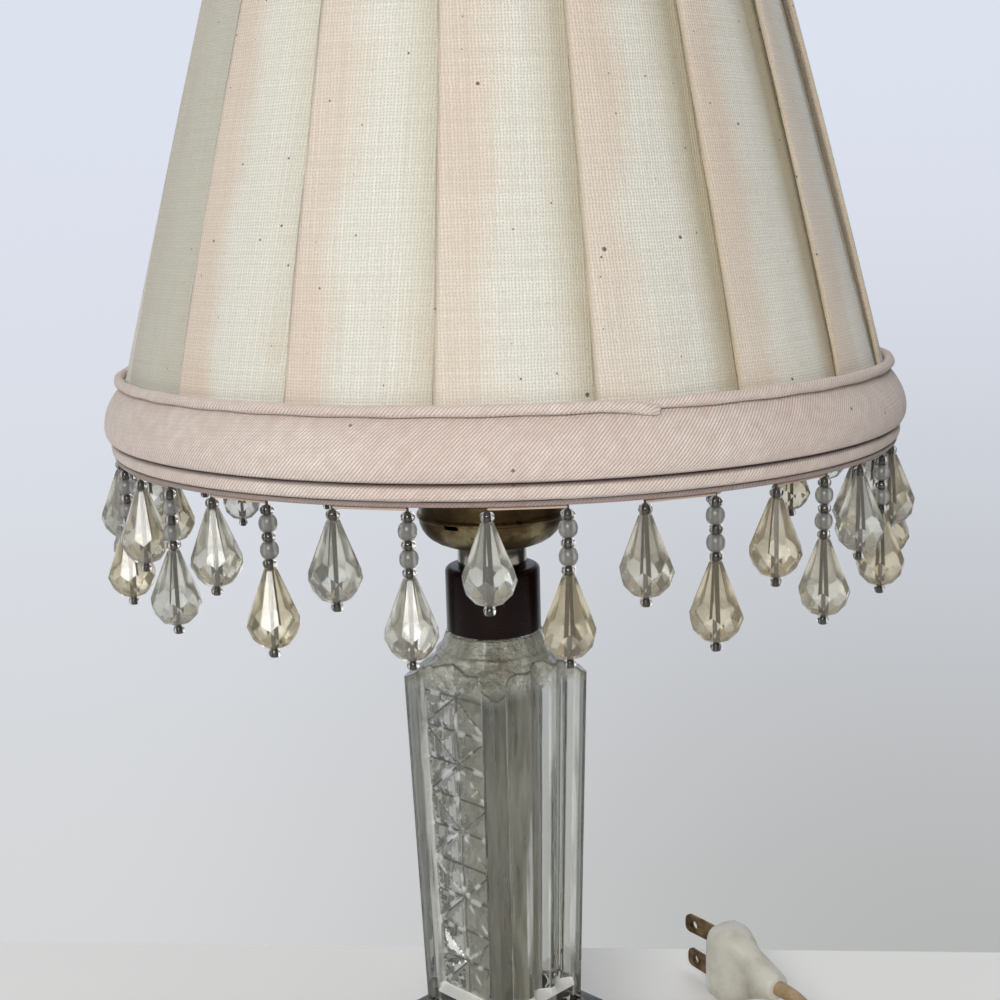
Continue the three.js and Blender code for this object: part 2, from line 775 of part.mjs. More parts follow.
function bulbGlass() {
  const neckTop = bulbBaseTop + BULB_NECK_HEIGHT;
  // The envelope's outline for a wall set in by an amount, from its open lower end to its crown
  const outline = (bottom, setIn) => {
    const onBall = (polar) => {
      const reach = BULB_RADIUS - setIn;
      return [reach * Math.sin(radians(polar)), bulbCentre + reach * Math.cos(radians(polar))];
    };
    const neck = BULB_NECK_RADIUS - setIn;
    const join = onBall(BULB_JOIN_POLAR);
    const points = [
      [0, bottom],
      [neck, bottom],
      [neck + BULB_NECK_FLARE, neckTop],
      [lerp(neck, join[0], 0.45), lerp(neckTop, join[1], 0.55)],
    ];
    for (let step = 0; step < BULB_ARC_STEPS; step++) {
      points.push(onBall(lerp(BULB_JOIN_POLAR, 0, step / BULB_ARC_STEPS)));
    }
    points.push([0, bulbCentre + BULB_RADIUS - setIn]);
    return turned(points, 22);
  };
  const outside = solid(outline(bulbBaseTop + GAP, 0));
  return outside.subtract(solid(outline(bulbBaseTop - OVERRUN, BULB_WALL)));
}

place("bulb_glass", geometryOf(bulbGlass()), FINISH.bulb);
place(
  "bulb_base",
  turned(
    [
      [0, bulbBottom],
      [BULB_CONTACT_RADIUS, bulbBottom],
      [BULB_CONTACT_RADIUS, bulbBottom + BULB_CONTACT_HEIGHT],
      [BULB_BASE_RADIUS, bulbBottom + BULB_CONE_HEIGHT],
      [BULB_BASE_RADIUS, bulbBaseTop],
      [0, bulbBaseTop],
    ],
    24,
  ),
  FINISH.steel,
);

// Bulb clip: a barrel that turns on the spider's cross wire, and two sprung loops

function bulbClip() {
  const reach = BULB_RADIUS + GAP + CLIP_WIRE_RADIUS + CLIP_HOLD_OFF;
  const barrelInner = SPIDER_RADIUS + GAP;
  const barrelOuter = barrelInner + BARREL_WALL;
  const barrel = sleeve(barrelInner, barrelOuter, -BARREL_LENGTH / 2, BARREL_LENGTH / 2, 12);
  barrel.rotateY(Math.PI / 2).translate(0, 0, crossWire);
  let made = solid(barrel);
  const loop = (side) => {
    const points = [];
    const onBulb = (azimuth, polar) => {
      const flat = reach * Math.sin(radians(polar));
      return [
        flat * Math.sin(radians(azimuth)),
        side * flat * Math.cos(radians(azimuth)),
        bulbCentre + reach * Math.cos(radians(polar)),
      ];
    };
    const leg = (azimuth) => {
      const [x, y] = onBulb(azimuth, 90);
      const foot = Math.sign(azimuth) * (BARREL_LENGTH / 2 - 2 * CLIP_WIRE_RADIUS);
      const low = barrelOuter * Math.SQRT1_2;
      return [
        [foot, side * low, crossWire - low],
        [lerp(foot, x, 0.45), lerp(0, y, 0.5), lerp(crossWire, bulbCentre, 0.42)],
        onBulb(azimuth, 48),
        onBulb(azimuth, 70),
        [x, y, bulbCentre],
        [x, y, bulbCentre - CLIP_LOOP_DROP * 0.6],
      ];
    };
    points.push(...leg(-CLIP_LOOP_SPREAD));
    for (const share of [-0.7, 0, 0.7]) {
      const [x, y] = onBulb(CLIP_LOOP_SPREAD * share, 90);
      points.push([x, y, bulbCentre - CLIP_LOOP_DROP]);
    }
    points.push(...leg(CLIP_LOOP_SPREAD).toReversed());
    return solid(tube(points, CLIP_WIRE_RADIUS, 5, 32));
  };
  made = made.add(loop(1)).add(loop(-1));
  return geometryOf(made);
}

place("bulb_clip", bulbClip(), FINISH.wire);

// Shade: radii of its layers at a height, from the folds inwards

function foldRadius(height) {
  const share = (height - shadeBottom) / SHADE_HEIGHT;
  return lerp(SHADE_BOTTOM_RADIUS, SHADE_TOP_RADIUS, share);
}
const coverInner = (height) => foldRadius(height) - PLEAT_DEPTH - CLOTH_THICKNESS;
const wireRadiusAt = (height) => coverInner(height) - GAP - FRAME_WIRE_RADIUS;
const liningOuter = (height) => wireRadiusAt(height) - FRAME_WIRE_RADIUS - GAP;
const liningInner = (height) => liningOuter(height) - LINING_THICKNESS;

// Radius at the corners of a turned ring whose flats lie the usual gap outside a circle
const around = (radius) => (radius + GAP) / Math.cos(Math.PI / SHADE_SIDES);

const topRing = shadeTop - RING_INSET;
const tapeTop = shadeBottom;
const bottomRing = shadeBottom + 2 * FRAME_WIRE_RADIUS + LINING_HEM;
const coverBottom = shadeBottom + COVER_HEM;
const coverTop = shadeTop - TRIM_ROOF - GAP;

// Frame: two rings joined by ribs
function shadeFrame() {
  let frame = solid(wireRing(wireRadiusAt(bottomRing), bottomRing, FRAME_WIRE_RADIUS)).add(
    solid(wireRing(wireRadiusAt(topRing), topRing, FRAME_WIRE_RADIUS)),
  );
  for (let rib = 0; rib < RIB_COUNT; rib++) {
    const angle = radians(RIB_START + (360 / RIB_COUNT) * rib);
    const at = (height) => [
      wireRadiusAt(height) * Math.cos(angle),
      wireRadiusAt(height) * Math.sin(angle),
      height,
    ];
    frame = frame.add(solid(straightTube(at(bottomRing), at(topRing), RIB_WIRE_RADIUS, 4)));
  }
  return geometryOf(frame);
}

// Spider: the cross wire, dropped below the top ring and bent up to meet it at both ends
function spiderPath(endRadius) {
  const points = [];
  const reach = liningInner(topRing) - SPIDER_BEND_RADIUS;
  const turnIn = SPIDER_BEND_RADIUS * (1 - Math.SQRT1_2);
  for (const side of [-1, 1]) {
    const half = [
      [side * endRadius, 0, topRing],
      [side * (endRadius - turnIn), 0, topRing],
      [side * (reach + turnIn), 0, topRing - turnIn],
      [side * reach, 0, topRing - SPIDER_DROP / 2],
      [side * (reach - turnIn), 0, crossWire + turnIn],
      [side * (reach - SPIDER_BEND_RADIUS), 0, crossWire],
      [side * BARREL_LENGTH, 0, crossWire],
    ];
    points.push(...(side < 0 ? half : half.toReversed()));
  }
  return points;
}
const spiderEnd = wireRadiusAt(topRing) - FRAME_WIRE_RADIUS - GAP;
place("shade_spider", tube(spiderPath(spiderEnd), SPIDER_RADIUS, 6, 30), FINISH.wire, shade);
place("shade_frame", shadeFrame(), FINISH.wire, shade);

function shadeLining() {
  const bottom = shadeBottom + LINING_HEM;
  const top = coverTop;
  const wall = turned(
    [
      [liningInner(bottom), bottom],
      [liningOuter(bottom), bottom],
      [liningOuter(top), top],
      [liningInner(top), top],
    ],
    SHADE_SIDES,
  );
  const armHole = straightTube(
    [-spiderEnd - OVERRUN, 0, topRing],
    [spiderEnd + OVERRUN, 0, topRing],
    SPIDER_RADIUS + 2 * GAP,
    8,
  );
  return geometryOf(solid(wall).subtract(solid(armHole)));
}
place("shade_lining", shadeLining(), FINISH.lining, shade);

// Knife pleats: each runs from its fold, proud, down to where the next fold laps over it
function pleatedCover() {
  const ring = (height) => {
    const fold = foldRadius(height);
    const step = 360 / PLEAT_COUNT;
    const undercut = THREE.MathUtils.radToDeg(PLEAT_UNDERCUT / SHADE_BOTTOM_RADIUS);
    const points = [];
    for (let pleat = 0; pleat < PLEAT_COUNT; pleat++) {
      const start = PLEAT_START - 90 + pleat * step;
      const outline = PLEAT_OUTLINE.map(([along, deep]) => [start + step * along, PLEAT_DEPTH * deep]);
      outline.push([start + step + undercut, PLEAT_DEPTH]);
      outline.push([start + step + undercut * 0.9, PLEAT_DEPTH * 0.6]);
      for (const [angle, sunk] of outline) {
        points.push(
          new THREE.Vector3(
            (fold - sunk) * Math.cos(radians(angle)),
            (fold - sunk) * Math.sin(radians(angle)),
            height,
          ),
        );
      }
    }
    return points;
  };
  const inside = turned(
    [
      [0, coverBottom - OVERRUN],
      [coverInner(coverBottom - OVERRUN), coverBottom - OVERRUN],
      [coverInner(coverTop + OVERRUN), coverTop + OVERRUN],
      [0, coverTop + OVERRUN],
    ],
    72,
  );
  return geometryOf(solid(lofted([ring(coverBottom), ring(coverTop)])).subtract(solid(inside)));
}
place("pleated_cover", pleatedCover(), FINISH.cloth, shade);

// Rim band: a narrow roll below, the wide padded band, and a narrow roll above
function rimBand() {
  const lowest = tapeTop + GAP;
  const rollTop = shadeBottom + LOWER_ROLL_HEIGHT;
  const bandTop = rollTop + BAND_HEIGHT;
  const hem = coverBottom - GAP;
  const rollInner = wireRadiusAt(bottomRing) + FRAME_WIRE_RADIUS + GAP;
  const bandInner = (height) => around(foldRadius(height));
  const upperRoll = bandTop + UPPER_ROLL_RADIUS;
  const profile = [
    [rollInner, lowest],
    [lerp(rollInner, LOWER_ROLL_RADIUS, 0.6), lowest],
    [LOWER_ROLL_RADIUS, lerp(lowest, rollTop, 0.45)],
    [LOWER_ROLL_RADIUS - ROLL_SEAM / 3, lerp(lowest, rollTop, 0.8)],
    [LOWER_ROLL_RADIUS - ROLL_SEAM, rollTop],
  ];
  for (const share of BAND_SHARES) {
    const height = lerp(rollTop, bandTop, share);
    const bulge = BAND_BULGE * Math.sin(Math.PI * lerp(BAND_LEAN, 1, share));
    profile.push([foldRadius(height) + bulge, height]);
  }
  profile.push([bandInner(bandTop) + ROLL_SEAM, bandTop]);
  profile.push([bandInner(upperRoll) + 2 * UPPER_ROLL_RADIUS, upperRoll]);
  profile.push([bandInner(upperRoll) + UPPER_ROLL_RADIUS, upperRoll + UPPER_ROLL_RADIUS]);
  profile.push([bandInner(upperRoll), upperRoll + UPPER_ROLL_RADIUS / 2]);
  profile.push([bandInner(hem), hem]);
  profile.push([rollInner, hem]);
  return turned(profile, SHADE_SIDES);
}
place("rim_band", rimBand(), FINISH.band, shade);

// Top trim: folded over the top edge of the cover and the lining
function topTrim() {
  const outerBottom = shadeTop - TOP_TRIM_HEIGHT;
  const roof = coverTop + GAP;
  const outer = (height) => around(foldRadius(height));
  const inner = (height) => liningInner(height) - GAP;
  const innerBottom = topRing + SPIDER_RADIUS + 2 * GAP;
  return turned(
    [
      [outer(outerBottom), outerBottom],
      [outer(outerBottom) + TRIM_WALL, outerBottom + TRIM_EDGE],
      [outer(lerp(outerBottom, roof, 0.5)) + TOP_TRIM_BULGE, lerp(outerBottom, roof, 0.5)],
      [outer(roof) + TRIM_WALL, roof],
      [outer(shadeTop) - TRIM_EDGE, shadeTop],
      [inner(shadeTop) + TRIM_EDGE, shadeTop],
      [inner(roof) - TRIM_WALL, roof],
      [inner(innerBottom) - TRIM_WALL / 2, innerBottom],
      [inner(innerBottom), innerBottom],
      [inner(roof), roof],
      [outer(roof), roof],
    ],
    SHADE_SIDES,
  );
}
place("top_trim", topTrim(), FINISH.band, shade);

// Beaded fringe

const tapeBottom = tapeTop - TAPE_THICKNESS;
place(
  "fringe_tape",
  sleeve(
    STRING_RADIUS - TAPE_WIDTH / 2,
    STRING_RADIUS + TAPE_WIDTH / 2,
    tapeBottom,
    tapeTop,
    2 * STRING_PAIRS,
  ),
  FINISH.band,
  shade,
);
const threadHeight = tapeBottom - GAP - THREAD_RADIUS;

// A string from the top down: its beads, drop and last small bead, as one turned outline
function beadString(beads, drop) {
  const outline = [
    [0, 0],
    [BEAD_NECK, 0],
  ];
  let height = 0;
  for (const bead of beads) {
    outline.push([bead.radius, height - bead.length / 2]);
    height -= bead.length;
    outline.push([BEAD_NECK, height]);
  }
  for (const [down, out] of drop.outline) {
    outline.push([drop.radius * out, height - drop.length * down]);
  }
  height -= drop.length;
  outline.push([KNOB_BEAD.radius, height - KNOB_BEAD.length / 2]);
  outline.push([0, height - KNOB_BEAD.length]);
  return solid(turned(outline.toReversed(), BEAD_SIDES));
}

const SHORT_BEADS = [SEED];
const LONG_BEADS = [SEED, ROUND_BEAD, SEED, ROUND_BEAD, SEED];
const spacing = 180 / STRING_PAIRS;

function stringPoint(azimuth) {
  const angle = radians(azimuth - 90);
  return [STRING_RADIUS * Math.cos(angle), STRING_RADIUS * Math.sin(angle), threadHeight];
}

const shortString = beadString(SHORT_BEADS, DROP);
const longString = beadString(LONG_BEADS, DROP);
for (let pair = 0; pair < STRING_PAIRS; pair++) {
  const first = STRING_START + 2 * spacing * pair;
  const from = stringPoint(first);
  const to = stringPoint(first + spacing);
  const strings = solid(straightTube(from, to, THREAD_RADIUS, 6))
    .add(shortString.translate(from))
    .add(longString.translate(to));
  const name = "fringe_pair_" + String(pair + 1).padStart(2, "0");
  place(name, geometryOf(strings), FINISH.beads, shade);
}

// Cord, its bushing, its coil and the plug

const noseEnd = SLAB_SIDE / 2 + BUSHING_NOSE;
function cordBushing() {
  const inside = FOOT_CAVITY_RADIUS - BUSHING_INSIDE;
  const length = noseEnd - inside;
  const flangeStart = SLAB_SIDE / 2 - inside + GAP;
  const flangeEnd = flangeStart + BUSHING_FLANGE.thickness;
  const profile = [
    [CORD_RADIUS + GAP, 0],
    [BUSHING_RADIUS, 0],
    [BUSHING_RADIUS, flangeStart],
    [BUSHING_RADIUS + BUSHING_FLANGE.proud, flangeStart],
    [BUSHING_RADIUS + BUSHING_FLANGE.proud, flangeEnd],
    [BUSHING_RADIUS, flangeEnd],
    [CORD_RADIUS + GAP + BUSHING_TIP_WALL, length],
    [CORD_RADIUS + GAP, length],
  ];
  const geometry = turned(profile, 16);
  geometry.rotateY(Math.PI / 2).rotateZ(Math.PI / 4);
  return geometry.translate(...exitAt(inside));
}
place("cord_bushing", cordBushing(), FINISH.knob);

const insideRoute = [
  exitAt(noseEnd - GAP),
  exitAt(50),
  exitAt(35),
  exitAt(20),
  exitAt(11, 7.2),
  exitAt(5, 8.4),
  exitAt(1.6, 11),
  [0, 0, 15],
  [0, 0, 24],
  [0, 0, 80],
  [0, 0, pipeTop + CORD_IN_SOCKET],
];
place("cord_inside", tube(insideRoute, CORD_RADIUS, 6, 32), FINISH.cord);

const cordRest = CORD_RADIUS;
const coilTurns = COIL_WHOLE_TURNS + (((COIL_END - COIL_START) / 360) % 1) + 1;

// Centre line of the coil: it spirals in on the table, climbs a layer in half a turn, and spirals out
function coilPoint(turn) {
  const wound = Math.min(turn, coilTurns - turn);
  const climb = THREE.MathUtils.clamp(2 * (turn - coilTurns / 2) + 0.5, 0, 1);
  const radius = COIL_OUTER_RADIUS - COIL_PITCH * wound;
  const angle = radians(COIL_START + 360 * turn);
  return new THREE.Vector3(
    COIL_CENTRE[0] + radius * Math.cos(angle),
    COIL_CENTRE[1] + radius * Math.sin(angle),
    cordRest + COIL_LAYER * THREE.MathUtils.smoothstep(climb, 0, 1),
  );
}

function coil() {
  const steps = Math.round(coilTurns * TURN_STEPS);
  const sides = 6;
  const rings = [];
  for (let step = 0; step <= steps; step++) {
    const turn = (coilTurns * step) / steps;
    const centre = coilPoint(turn);
    const ahead = coilPoint(Math.min(turn + 0.01, coilTurns));
    const behind = coilPoint(Math.max(turn - 0.01, 0));
    const along = ahead.sub(behind).normalize();
    const out = new THREE.Vector3(0, 0, 1).cross(along).normalize().negate();
    const up = out.clone().cross(along).normalize().negate();
    const ring = [];
    for (let i = 0; i < sides; i++) {
      const angle = (2 * Math.PI * i) / sides;
      const point = centre.clone();
      point.addScaledVector(out, CORD_RADIUS * Math.cos(angle));
      point.addScaledVector(up, CORD_RADIUS * Math.sin(angle));
      ring.push(point);
    }
    rings.push(ring);
  }
  const positions = rings.flat().flatMap((point) => [point.x, point.y, point.z]);
  const faces = [];
  for (let step = 0; step < steps; step++) {
    for (let i = 0; i < sides; i++) {
      const low = step * sides;
      const next = (i + 1) % sides;
      faces.push(low + i, low + next, low + sides + next);
      faces.push(low + i, low + sides + next, low + sides + i);
    }
  }
  for (let i = 1; i + 1 < sides; i++) {
    faces.push(0, i + 1, i);
    faces.push(steps * sides, steps * sides + i, steps * sides + i + 1);
  }
  const geometry = new THREE.BufferGeometry();
  geometry.setAttribute("position", new THREE.Float32BufferAttribute(positions, 3));
  geometry.setIndex(faces);
  return geometry;
}
place("cord_coil", coil(), FINISH.cord);

// Least gap between the coil's turns, over points of its centre line more than half a turn apart
function leastCoilGap() {
  const points = [];
  for (let turn = 0; turn <= coilTurns; turn += 1 / 72) points.push(coilPoint(turn));
  let least = Infinity;
  points.forEach((point, i) => {
    for (let j = i + 36; j < points.length; j++) {
      least = Math.min(least, point.distanceTo(points[j]) - 2 * CORD_RADIUS);
    }
  });
  return least;
}
console.log("least gap between the coil's turns: " + leastCoilGap().toFixed(2) + " mm");

const coilStart = coilPoint(0);
const coilEnd = coilPoint(coilTurns);
const startHeading = coilStart.clone().sub(coilPoint(0.004)).normalize();
const endHeading = coilEnd.clone().sub(coilPoint(coilTurns - 0.004)).normalize();

function beyond(point, heading, distance, height = point.z) {
  return [point.x + heading.x * distance, point.y + heading.y * distance, height];
}

const routeToCoil = [
  exitAt(noseEnd + GAP),
  exitAt(noseEnd + 3.5, 6.7),
  [52.8, 50.9, 5.6],
  [60.4, 53.2, 4.5],
  [68.3, 52.8, 3.5],
  [75.7, 49.9, 2.8],
  [81.7, 44.7, cordRest],
  [85.7, 37.9, cordRest],
  [87.3, 30.1, cordRest],
  [86.2, 22.2, cordRest],
  [82.6, 15.1, cordRest],
  [77.5, 9, cordRest],
  [72.4, 2.9, cordRest],
  [67.3, -3.2, cordRest],
  [63.1, -10, cordRest],
  [60, -17.3, cordRest],
  [58.1, -25.1, cordRest],
  [57.6, -29, cordRest],
  beyond(coilStart, startHeading, GAP),
];
place("cord_to_coil", tube(routeToCoil, CORD_RADIUS, 8, 18), FINISH.cord);

// The plug's own frame: +X along the blades, +Z across them
const plug = new THREE.Group();
plug.position.set(...PLUG_FACE);
plug.rotation.z = radians(PLUG_BEARING);
lamp.add(plug);

const plugHeading = new THREE.Vector3(1, 0, 0).applyEuler(plug.rotation);
const plugRear = new THREE.Vector3(...PLUG_FACE).addScaledVector(plugHeading, -PLUG_LENGTH);
const routeToPlug = [
  beyond(coilEnd, endHeading, GAP),
  beyond(coilEnd, endHeading, 10, coilEnd.z - 0.6),
  beyond(coilEnd, endHeading, 22, coilEnd.z - 2.2),
  beyond(coilEnd, endHeading, 34, coilEnd.z - 3.2),
  beyond(plugRear, plugHeading, -26, plugRear.z - 6.4),
  beyond(plugRear, plugHeading, -14, plugRear.z - 2.2),
  beyond(plugRear, plugHeading, -6),
  beyond(plugRear, plugHeading, -GAP),
];
place("cord_to_plug", tube(routeToPlug, CORD_RADIUS, 8, 16), FINISH.cord);

function plugBody() {
  const section = (halfWidth, halfThickness, along) => {
    const cut = Math.min(halfWidth, halfThickness) * PLUG_CORNER_CUT;
    const corners = [
      [halfThickness, -halfWidth + cut],
      [halfThickness, halfWidth - cut],
      [halfThickness - cut, halfWidth],
      [-halfThickness + cut, halfWidth],
      [-halfThickness, halfWidth - cut],
      [-halfThickness, -halfWidth + cut],
      [-halfThickness + cut, -halfWidth],
      [halfThickness - cut, -halfWidth],
    ];
    return corners.map(([x, y]) => new THREE.Vector3(x, y, along));
  };
  const body = lofted(
    PLUG_OUTLINE.map(([along, wide, thick]) =>
      section((PLUG_WIDTH / 2) * wide, (PLUG_THICKNESS / 2) * thick, PLUG_LENGTH * along),
    ),
  );
  // Drawn rear end down, then laid with the width upright
  body.rotateY(Math.PI / 2).rotateX(Math.PI / 2).translate(-PLUG_LENGTH, 0, 0);
  return body;
}

function bladeOutline(grow) {
  const length = BLADE.length + BLADE.rooted;
  const outline = new THREE.BoxGeometry(length, BLADE.width + 2 * grow, BLADE.thickness + 2 * grow);
  return outline.translate(length / 2 - BLADE.rooted - grow, 0, 0);
}
let plugShell = solid(plugBody());
for (const [index, side] of [1, -1].entries()) {
  const height = (side * BLADE_SPACING) / 2;
  plugShell = plugShell.subtract(solid(bladeOutline(GAP).translate(0, 0, height)));
  const blade = bladeOutline(0).translate(0, 0, height);
  place("plug_blade_" + (index + 1), blade, FINISH.blade, plug);
}
place("plug_body", geometryOf(plugShell), FINISH.plug, plug);

export default lamp;
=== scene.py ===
# Boudoir table lamp.
import json
import math
from functools import cached_property

import bmesh
import bpy
import numpy as np
from mathutils import Matrix, Vector

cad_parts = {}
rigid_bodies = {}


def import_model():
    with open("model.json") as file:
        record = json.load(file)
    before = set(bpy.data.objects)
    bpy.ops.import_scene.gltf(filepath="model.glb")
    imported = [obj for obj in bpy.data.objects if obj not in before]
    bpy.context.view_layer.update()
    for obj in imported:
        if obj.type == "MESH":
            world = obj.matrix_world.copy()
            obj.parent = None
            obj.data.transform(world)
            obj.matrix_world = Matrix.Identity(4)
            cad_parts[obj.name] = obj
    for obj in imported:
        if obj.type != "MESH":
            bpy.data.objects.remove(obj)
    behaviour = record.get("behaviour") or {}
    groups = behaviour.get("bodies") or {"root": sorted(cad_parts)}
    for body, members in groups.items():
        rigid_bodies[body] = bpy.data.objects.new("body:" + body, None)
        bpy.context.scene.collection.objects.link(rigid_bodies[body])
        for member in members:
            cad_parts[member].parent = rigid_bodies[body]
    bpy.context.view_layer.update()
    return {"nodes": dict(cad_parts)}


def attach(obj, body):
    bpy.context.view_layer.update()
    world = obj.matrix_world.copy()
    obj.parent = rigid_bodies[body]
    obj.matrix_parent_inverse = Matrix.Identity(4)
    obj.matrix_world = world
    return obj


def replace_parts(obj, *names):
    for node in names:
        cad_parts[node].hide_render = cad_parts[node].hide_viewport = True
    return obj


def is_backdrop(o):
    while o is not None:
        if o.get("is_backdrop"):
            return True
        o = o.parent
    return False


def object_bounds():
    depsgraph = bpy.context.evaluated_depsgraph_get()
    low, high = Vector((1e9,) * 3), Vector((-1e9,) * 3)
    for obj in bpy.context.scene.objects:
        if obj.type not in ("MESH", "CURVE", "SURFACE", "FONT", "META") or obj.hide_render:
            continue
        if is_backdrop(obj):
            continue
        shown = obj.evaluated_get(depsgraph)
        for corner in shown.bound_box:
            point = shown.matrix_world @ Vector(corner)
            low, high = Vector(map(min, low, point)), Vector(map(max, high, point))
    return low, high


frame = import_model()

# Camera: the photograph's view, from in front and a little above the rim, tilted down and leaning
# slightly to its left.
MM = 0.001
CAMERA_PLACE = (0.84, -405.68, 261.73)
CAMERA_PITCH, CAMERA_YAW, CAMERA_ROLL = math.radians(10.803), math.radians(0.238), math.radians(-1.556)
CAMERA_LENS, CAMERA_NEAR = 56.05, 0.01

camera_data = bpy.data.cameras.new("camera")
camera_data.lens = CAMERA_LENS
camera_data.clip_start = CAMERA_NEAR
camera = bpy.data.objects.new("camera", camera_data)
bpy.context.scene.collection.objects.link(camera)
ahead = Vector((math.sin(CAMERA_YAW), math.cos(CAMERA_YAW), -math.tan(CAMERA_PITCH))).normalized()
level = Vector((math.cos(CAMERA_YAW), -math.sin(CAMERA_YAW), 0))
upright = level.cross(ahead)
right = level * math.cos(CAMERA_ROLL) + upright * math.sin(CAMERA_ROLL)
up = upright * math.cos(CAMERA_ROLL) - level * math.sin(CAMERA_ROLL)
turned_view = Matrix((right, up, -ahead)).transposed().to_4x4()
camera.matrix_world = Matrix.Translation(Vector(CAMERA_PLACE) * MM) @ turned_view
bpy.context.scene.camera = camera


# Room: a white table top whose back edge lies askew just behind the lamp, a pale floor at a table's
# height below it, and soft light from the front, the right, above and all round.
TABLE_REACH, TABLE_BACK_LEFT, TABLE_BACK_RIGHT, TABLE_THICKNESS = 1100, 206, 18, 20
FLOOR_REACH, FLOOR_DROP = 1400, 740
LIGHTS_AIM = 0.2
BOX_FACES = [(3, 2, 1, 0), (4, 5, 6, 7), (0, 1, 5, 4), (1, 2, 6, 5), (2, 3, 7, 6), (3, 0, 4, 7)]


def put_in(tree, socket, value):
    """Links a socket to another node's output, or sets it to a number or a colour."""
    if isinstance(value, bpy.types.NodeSocket):
        tree.links.new(value, socket)
    else:
        socket.default_value = (*value, 1) if socket.type == "RGBA" else value


def new_node(tree, kind, inputs=(), **settings):
    made = tree.nodes.new(kind)
    for key, value in settings.items():
        setattr(made, key, value)
    for key, value in dict(inputs).items():
        put_in(tree, made.inputs[key], value)
    return made


class Finish:
    """A material in the making. Values that are the same all over are set on the shader itself."""

    def __init__(self, name, **values):
        self.material = bpy.data.materials.new(name)
        self.material.use_nodes = True
        self.tree = self.material.node_tree
        self.shader = self.tree.nodes["Principled BSDF"]
        for socket, value in values.items():
            put_in(self.tree, self.shader.inputs[socket.replace("_", " ")], value)

    @cached_property
    def place(self):
        return self.node("TexCoord").outputs["Object"]

    def node(self, kind, inputs=(), **settings):
        return new_node(self.tree, "ShaderNode" + kind, inputs, **settings)

    def maths(self, how, *values, clamped=False):
        return self.node("Math", enumerate(values), operation=how, use_clamp=clamped).outputs[0]

    def times(self, first, second):
        return self.maths("MULTIPLY", first, second)

    def span(self, value, low, high, least=0, most=1):
        """Runs from least to most while the value runs from low to high."""
        ends = {"Value": value, "From Min": low, "From Max": high, "To Min": least, "To Max": most}
        return self.node("MapRange", ends).outputs[0]

    def noise(self, scale, detail, roughness=0.5, where=None):
        where = self.place if where is None else where
        given = {"Vector": where, "Scale": scale, "Detail": detail, "Roughness": roughness}
        return self.node("TexNoise", given).outputs

    def blotches(self, scale, detail=3, low=0.35, high=0.65, where=None):
        """A soft noise drawn out to run from 0 to 1."""
        return self.span(self.noise(scale, detail, 0.55, where)[0], low, high)

    def sides(self, where=None):
        """The three coordinates of a place."""
        return self.node("SeparateXYZ", {0: self.place if where is None else where}).outputs

    def drawn_out(self, scale, turned=(0, 0, 0), where=None):
        """Places stretched and turned, so that a pattern on them is too."""
        where = self.place if where is None else where
        return self.node("Mapping", {"Vector": where, "Scale": scale, "Rotation": turned}).outputs[0]

    def mixed(self, share, first, second, most=1):
        """A colour between two, with at most the given share of the second."""
        share = share if most == 1 else self.times(share, most)
        return self.node("Mix", {0: share, 6: first, 7: second}, data_type="RGBA").outputs[2]

    def painted(self, colour, *coats):
        """A colour with coats over it, each with its share, its colour and at most how much of it."""
        for share, tone, most in coats:
            colour = self.mixed(share, colour, tone, most)
        return colour

    def raised(self, height, distance, strength, over=None):
        """A bump, on top of another where one is given."""
        given = {"Height": height, "Distance": distance, "Strength": strength}
        return self.node("Bump", {**given, "Normal": over} if over else given).outputs[0]

    def marked(self, name):
        """What mark() has stored on the piece's points under a name."""
        return self.node("Attribute", attribute_name=name).outputs["Fac"]

    def finished(self, **sockets):
        for socket, value in sockets.items():
            put_in(self.tree, self.shader.inputs[socket.replace("_", " ")], value)
        return self.material


def new_object(name, points, faces):
    """An object at the origin with a mesh from points in millimetres."""
    mesh = bpy.data.meshes.new(name)
    mesh.from_pydata([tuple(np.asarray(point) * MM) for point in points], [], faces)
    made = bpy.data.objects.new(name, mesh)
    bpy.context.scene.collection.objects.link(made)
    return made


def soft_light(name, place, size, power, colour):
    light = bpy.data.lights.new(name, "AREA")
    light.size = size
    light.energy = power
    light.color = colour
    lamp = bpy.data.objects.new(name, light)
    bpy.context.scene.collection.objects.link(lamp)
    aim = Vector((0, 0, LIGHTS_AIM)) - Vector(place)
    lamp.location = place
    lamp.rotation_euler = aim.to_track_quat("-Z", "Y").to_euler()


for name, reach, back_left, back_right, bottom, top, paint in (
    ("table_top", TABLE_REACH, TABLE_BACK_LEFT, TABLE_BACK_RIGHT, -TABLE_THICKNESS, 0,
     Finish("table_white", Base_Color=(0.96, 0.96, 0.95), Roughness=0.55)),
    ("studio_floor", FLOOR_REACH, FLOOR_REACH, FLOOR_REACH, -FLOOR_DROP - TABLE_THICKNESS, -FLOOR_DROP,
     Finish("floor_pale", Base_Color=(0.60, 0.61, 0.65), Roughness=0.8)),
):
    outline = ((-reach, -reach), (reach, -reach), (reach, back_right), (-reach, back_left))
    slab = new_object(name, [(x, y, z) for z in (bottom, top) for x, y in outline], BOX_FACES)
    slab.data.materials.append(paint.material)
    slab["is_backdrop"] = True
soft_light("window", place=(-0.22, -1.38, 0.78), size=0.6, power=16.2, colour=(1, 0.985, 0.96))
soft_light("doorway", place=(1.3, -0.9, 0.7), size=0.5, power=0.3, colour=(0.97, 0.98, 1))

world = bpy.data.worlds.new("room")
world.use_nodes = True
sky = world.node_tree
heading_of = new_node(sky, "ShaderNodeTexCoord").outputs["Generated"]
split = new_node(sky, "ShaderNodeSeparateXYZ", {0: heading_of}).outputs


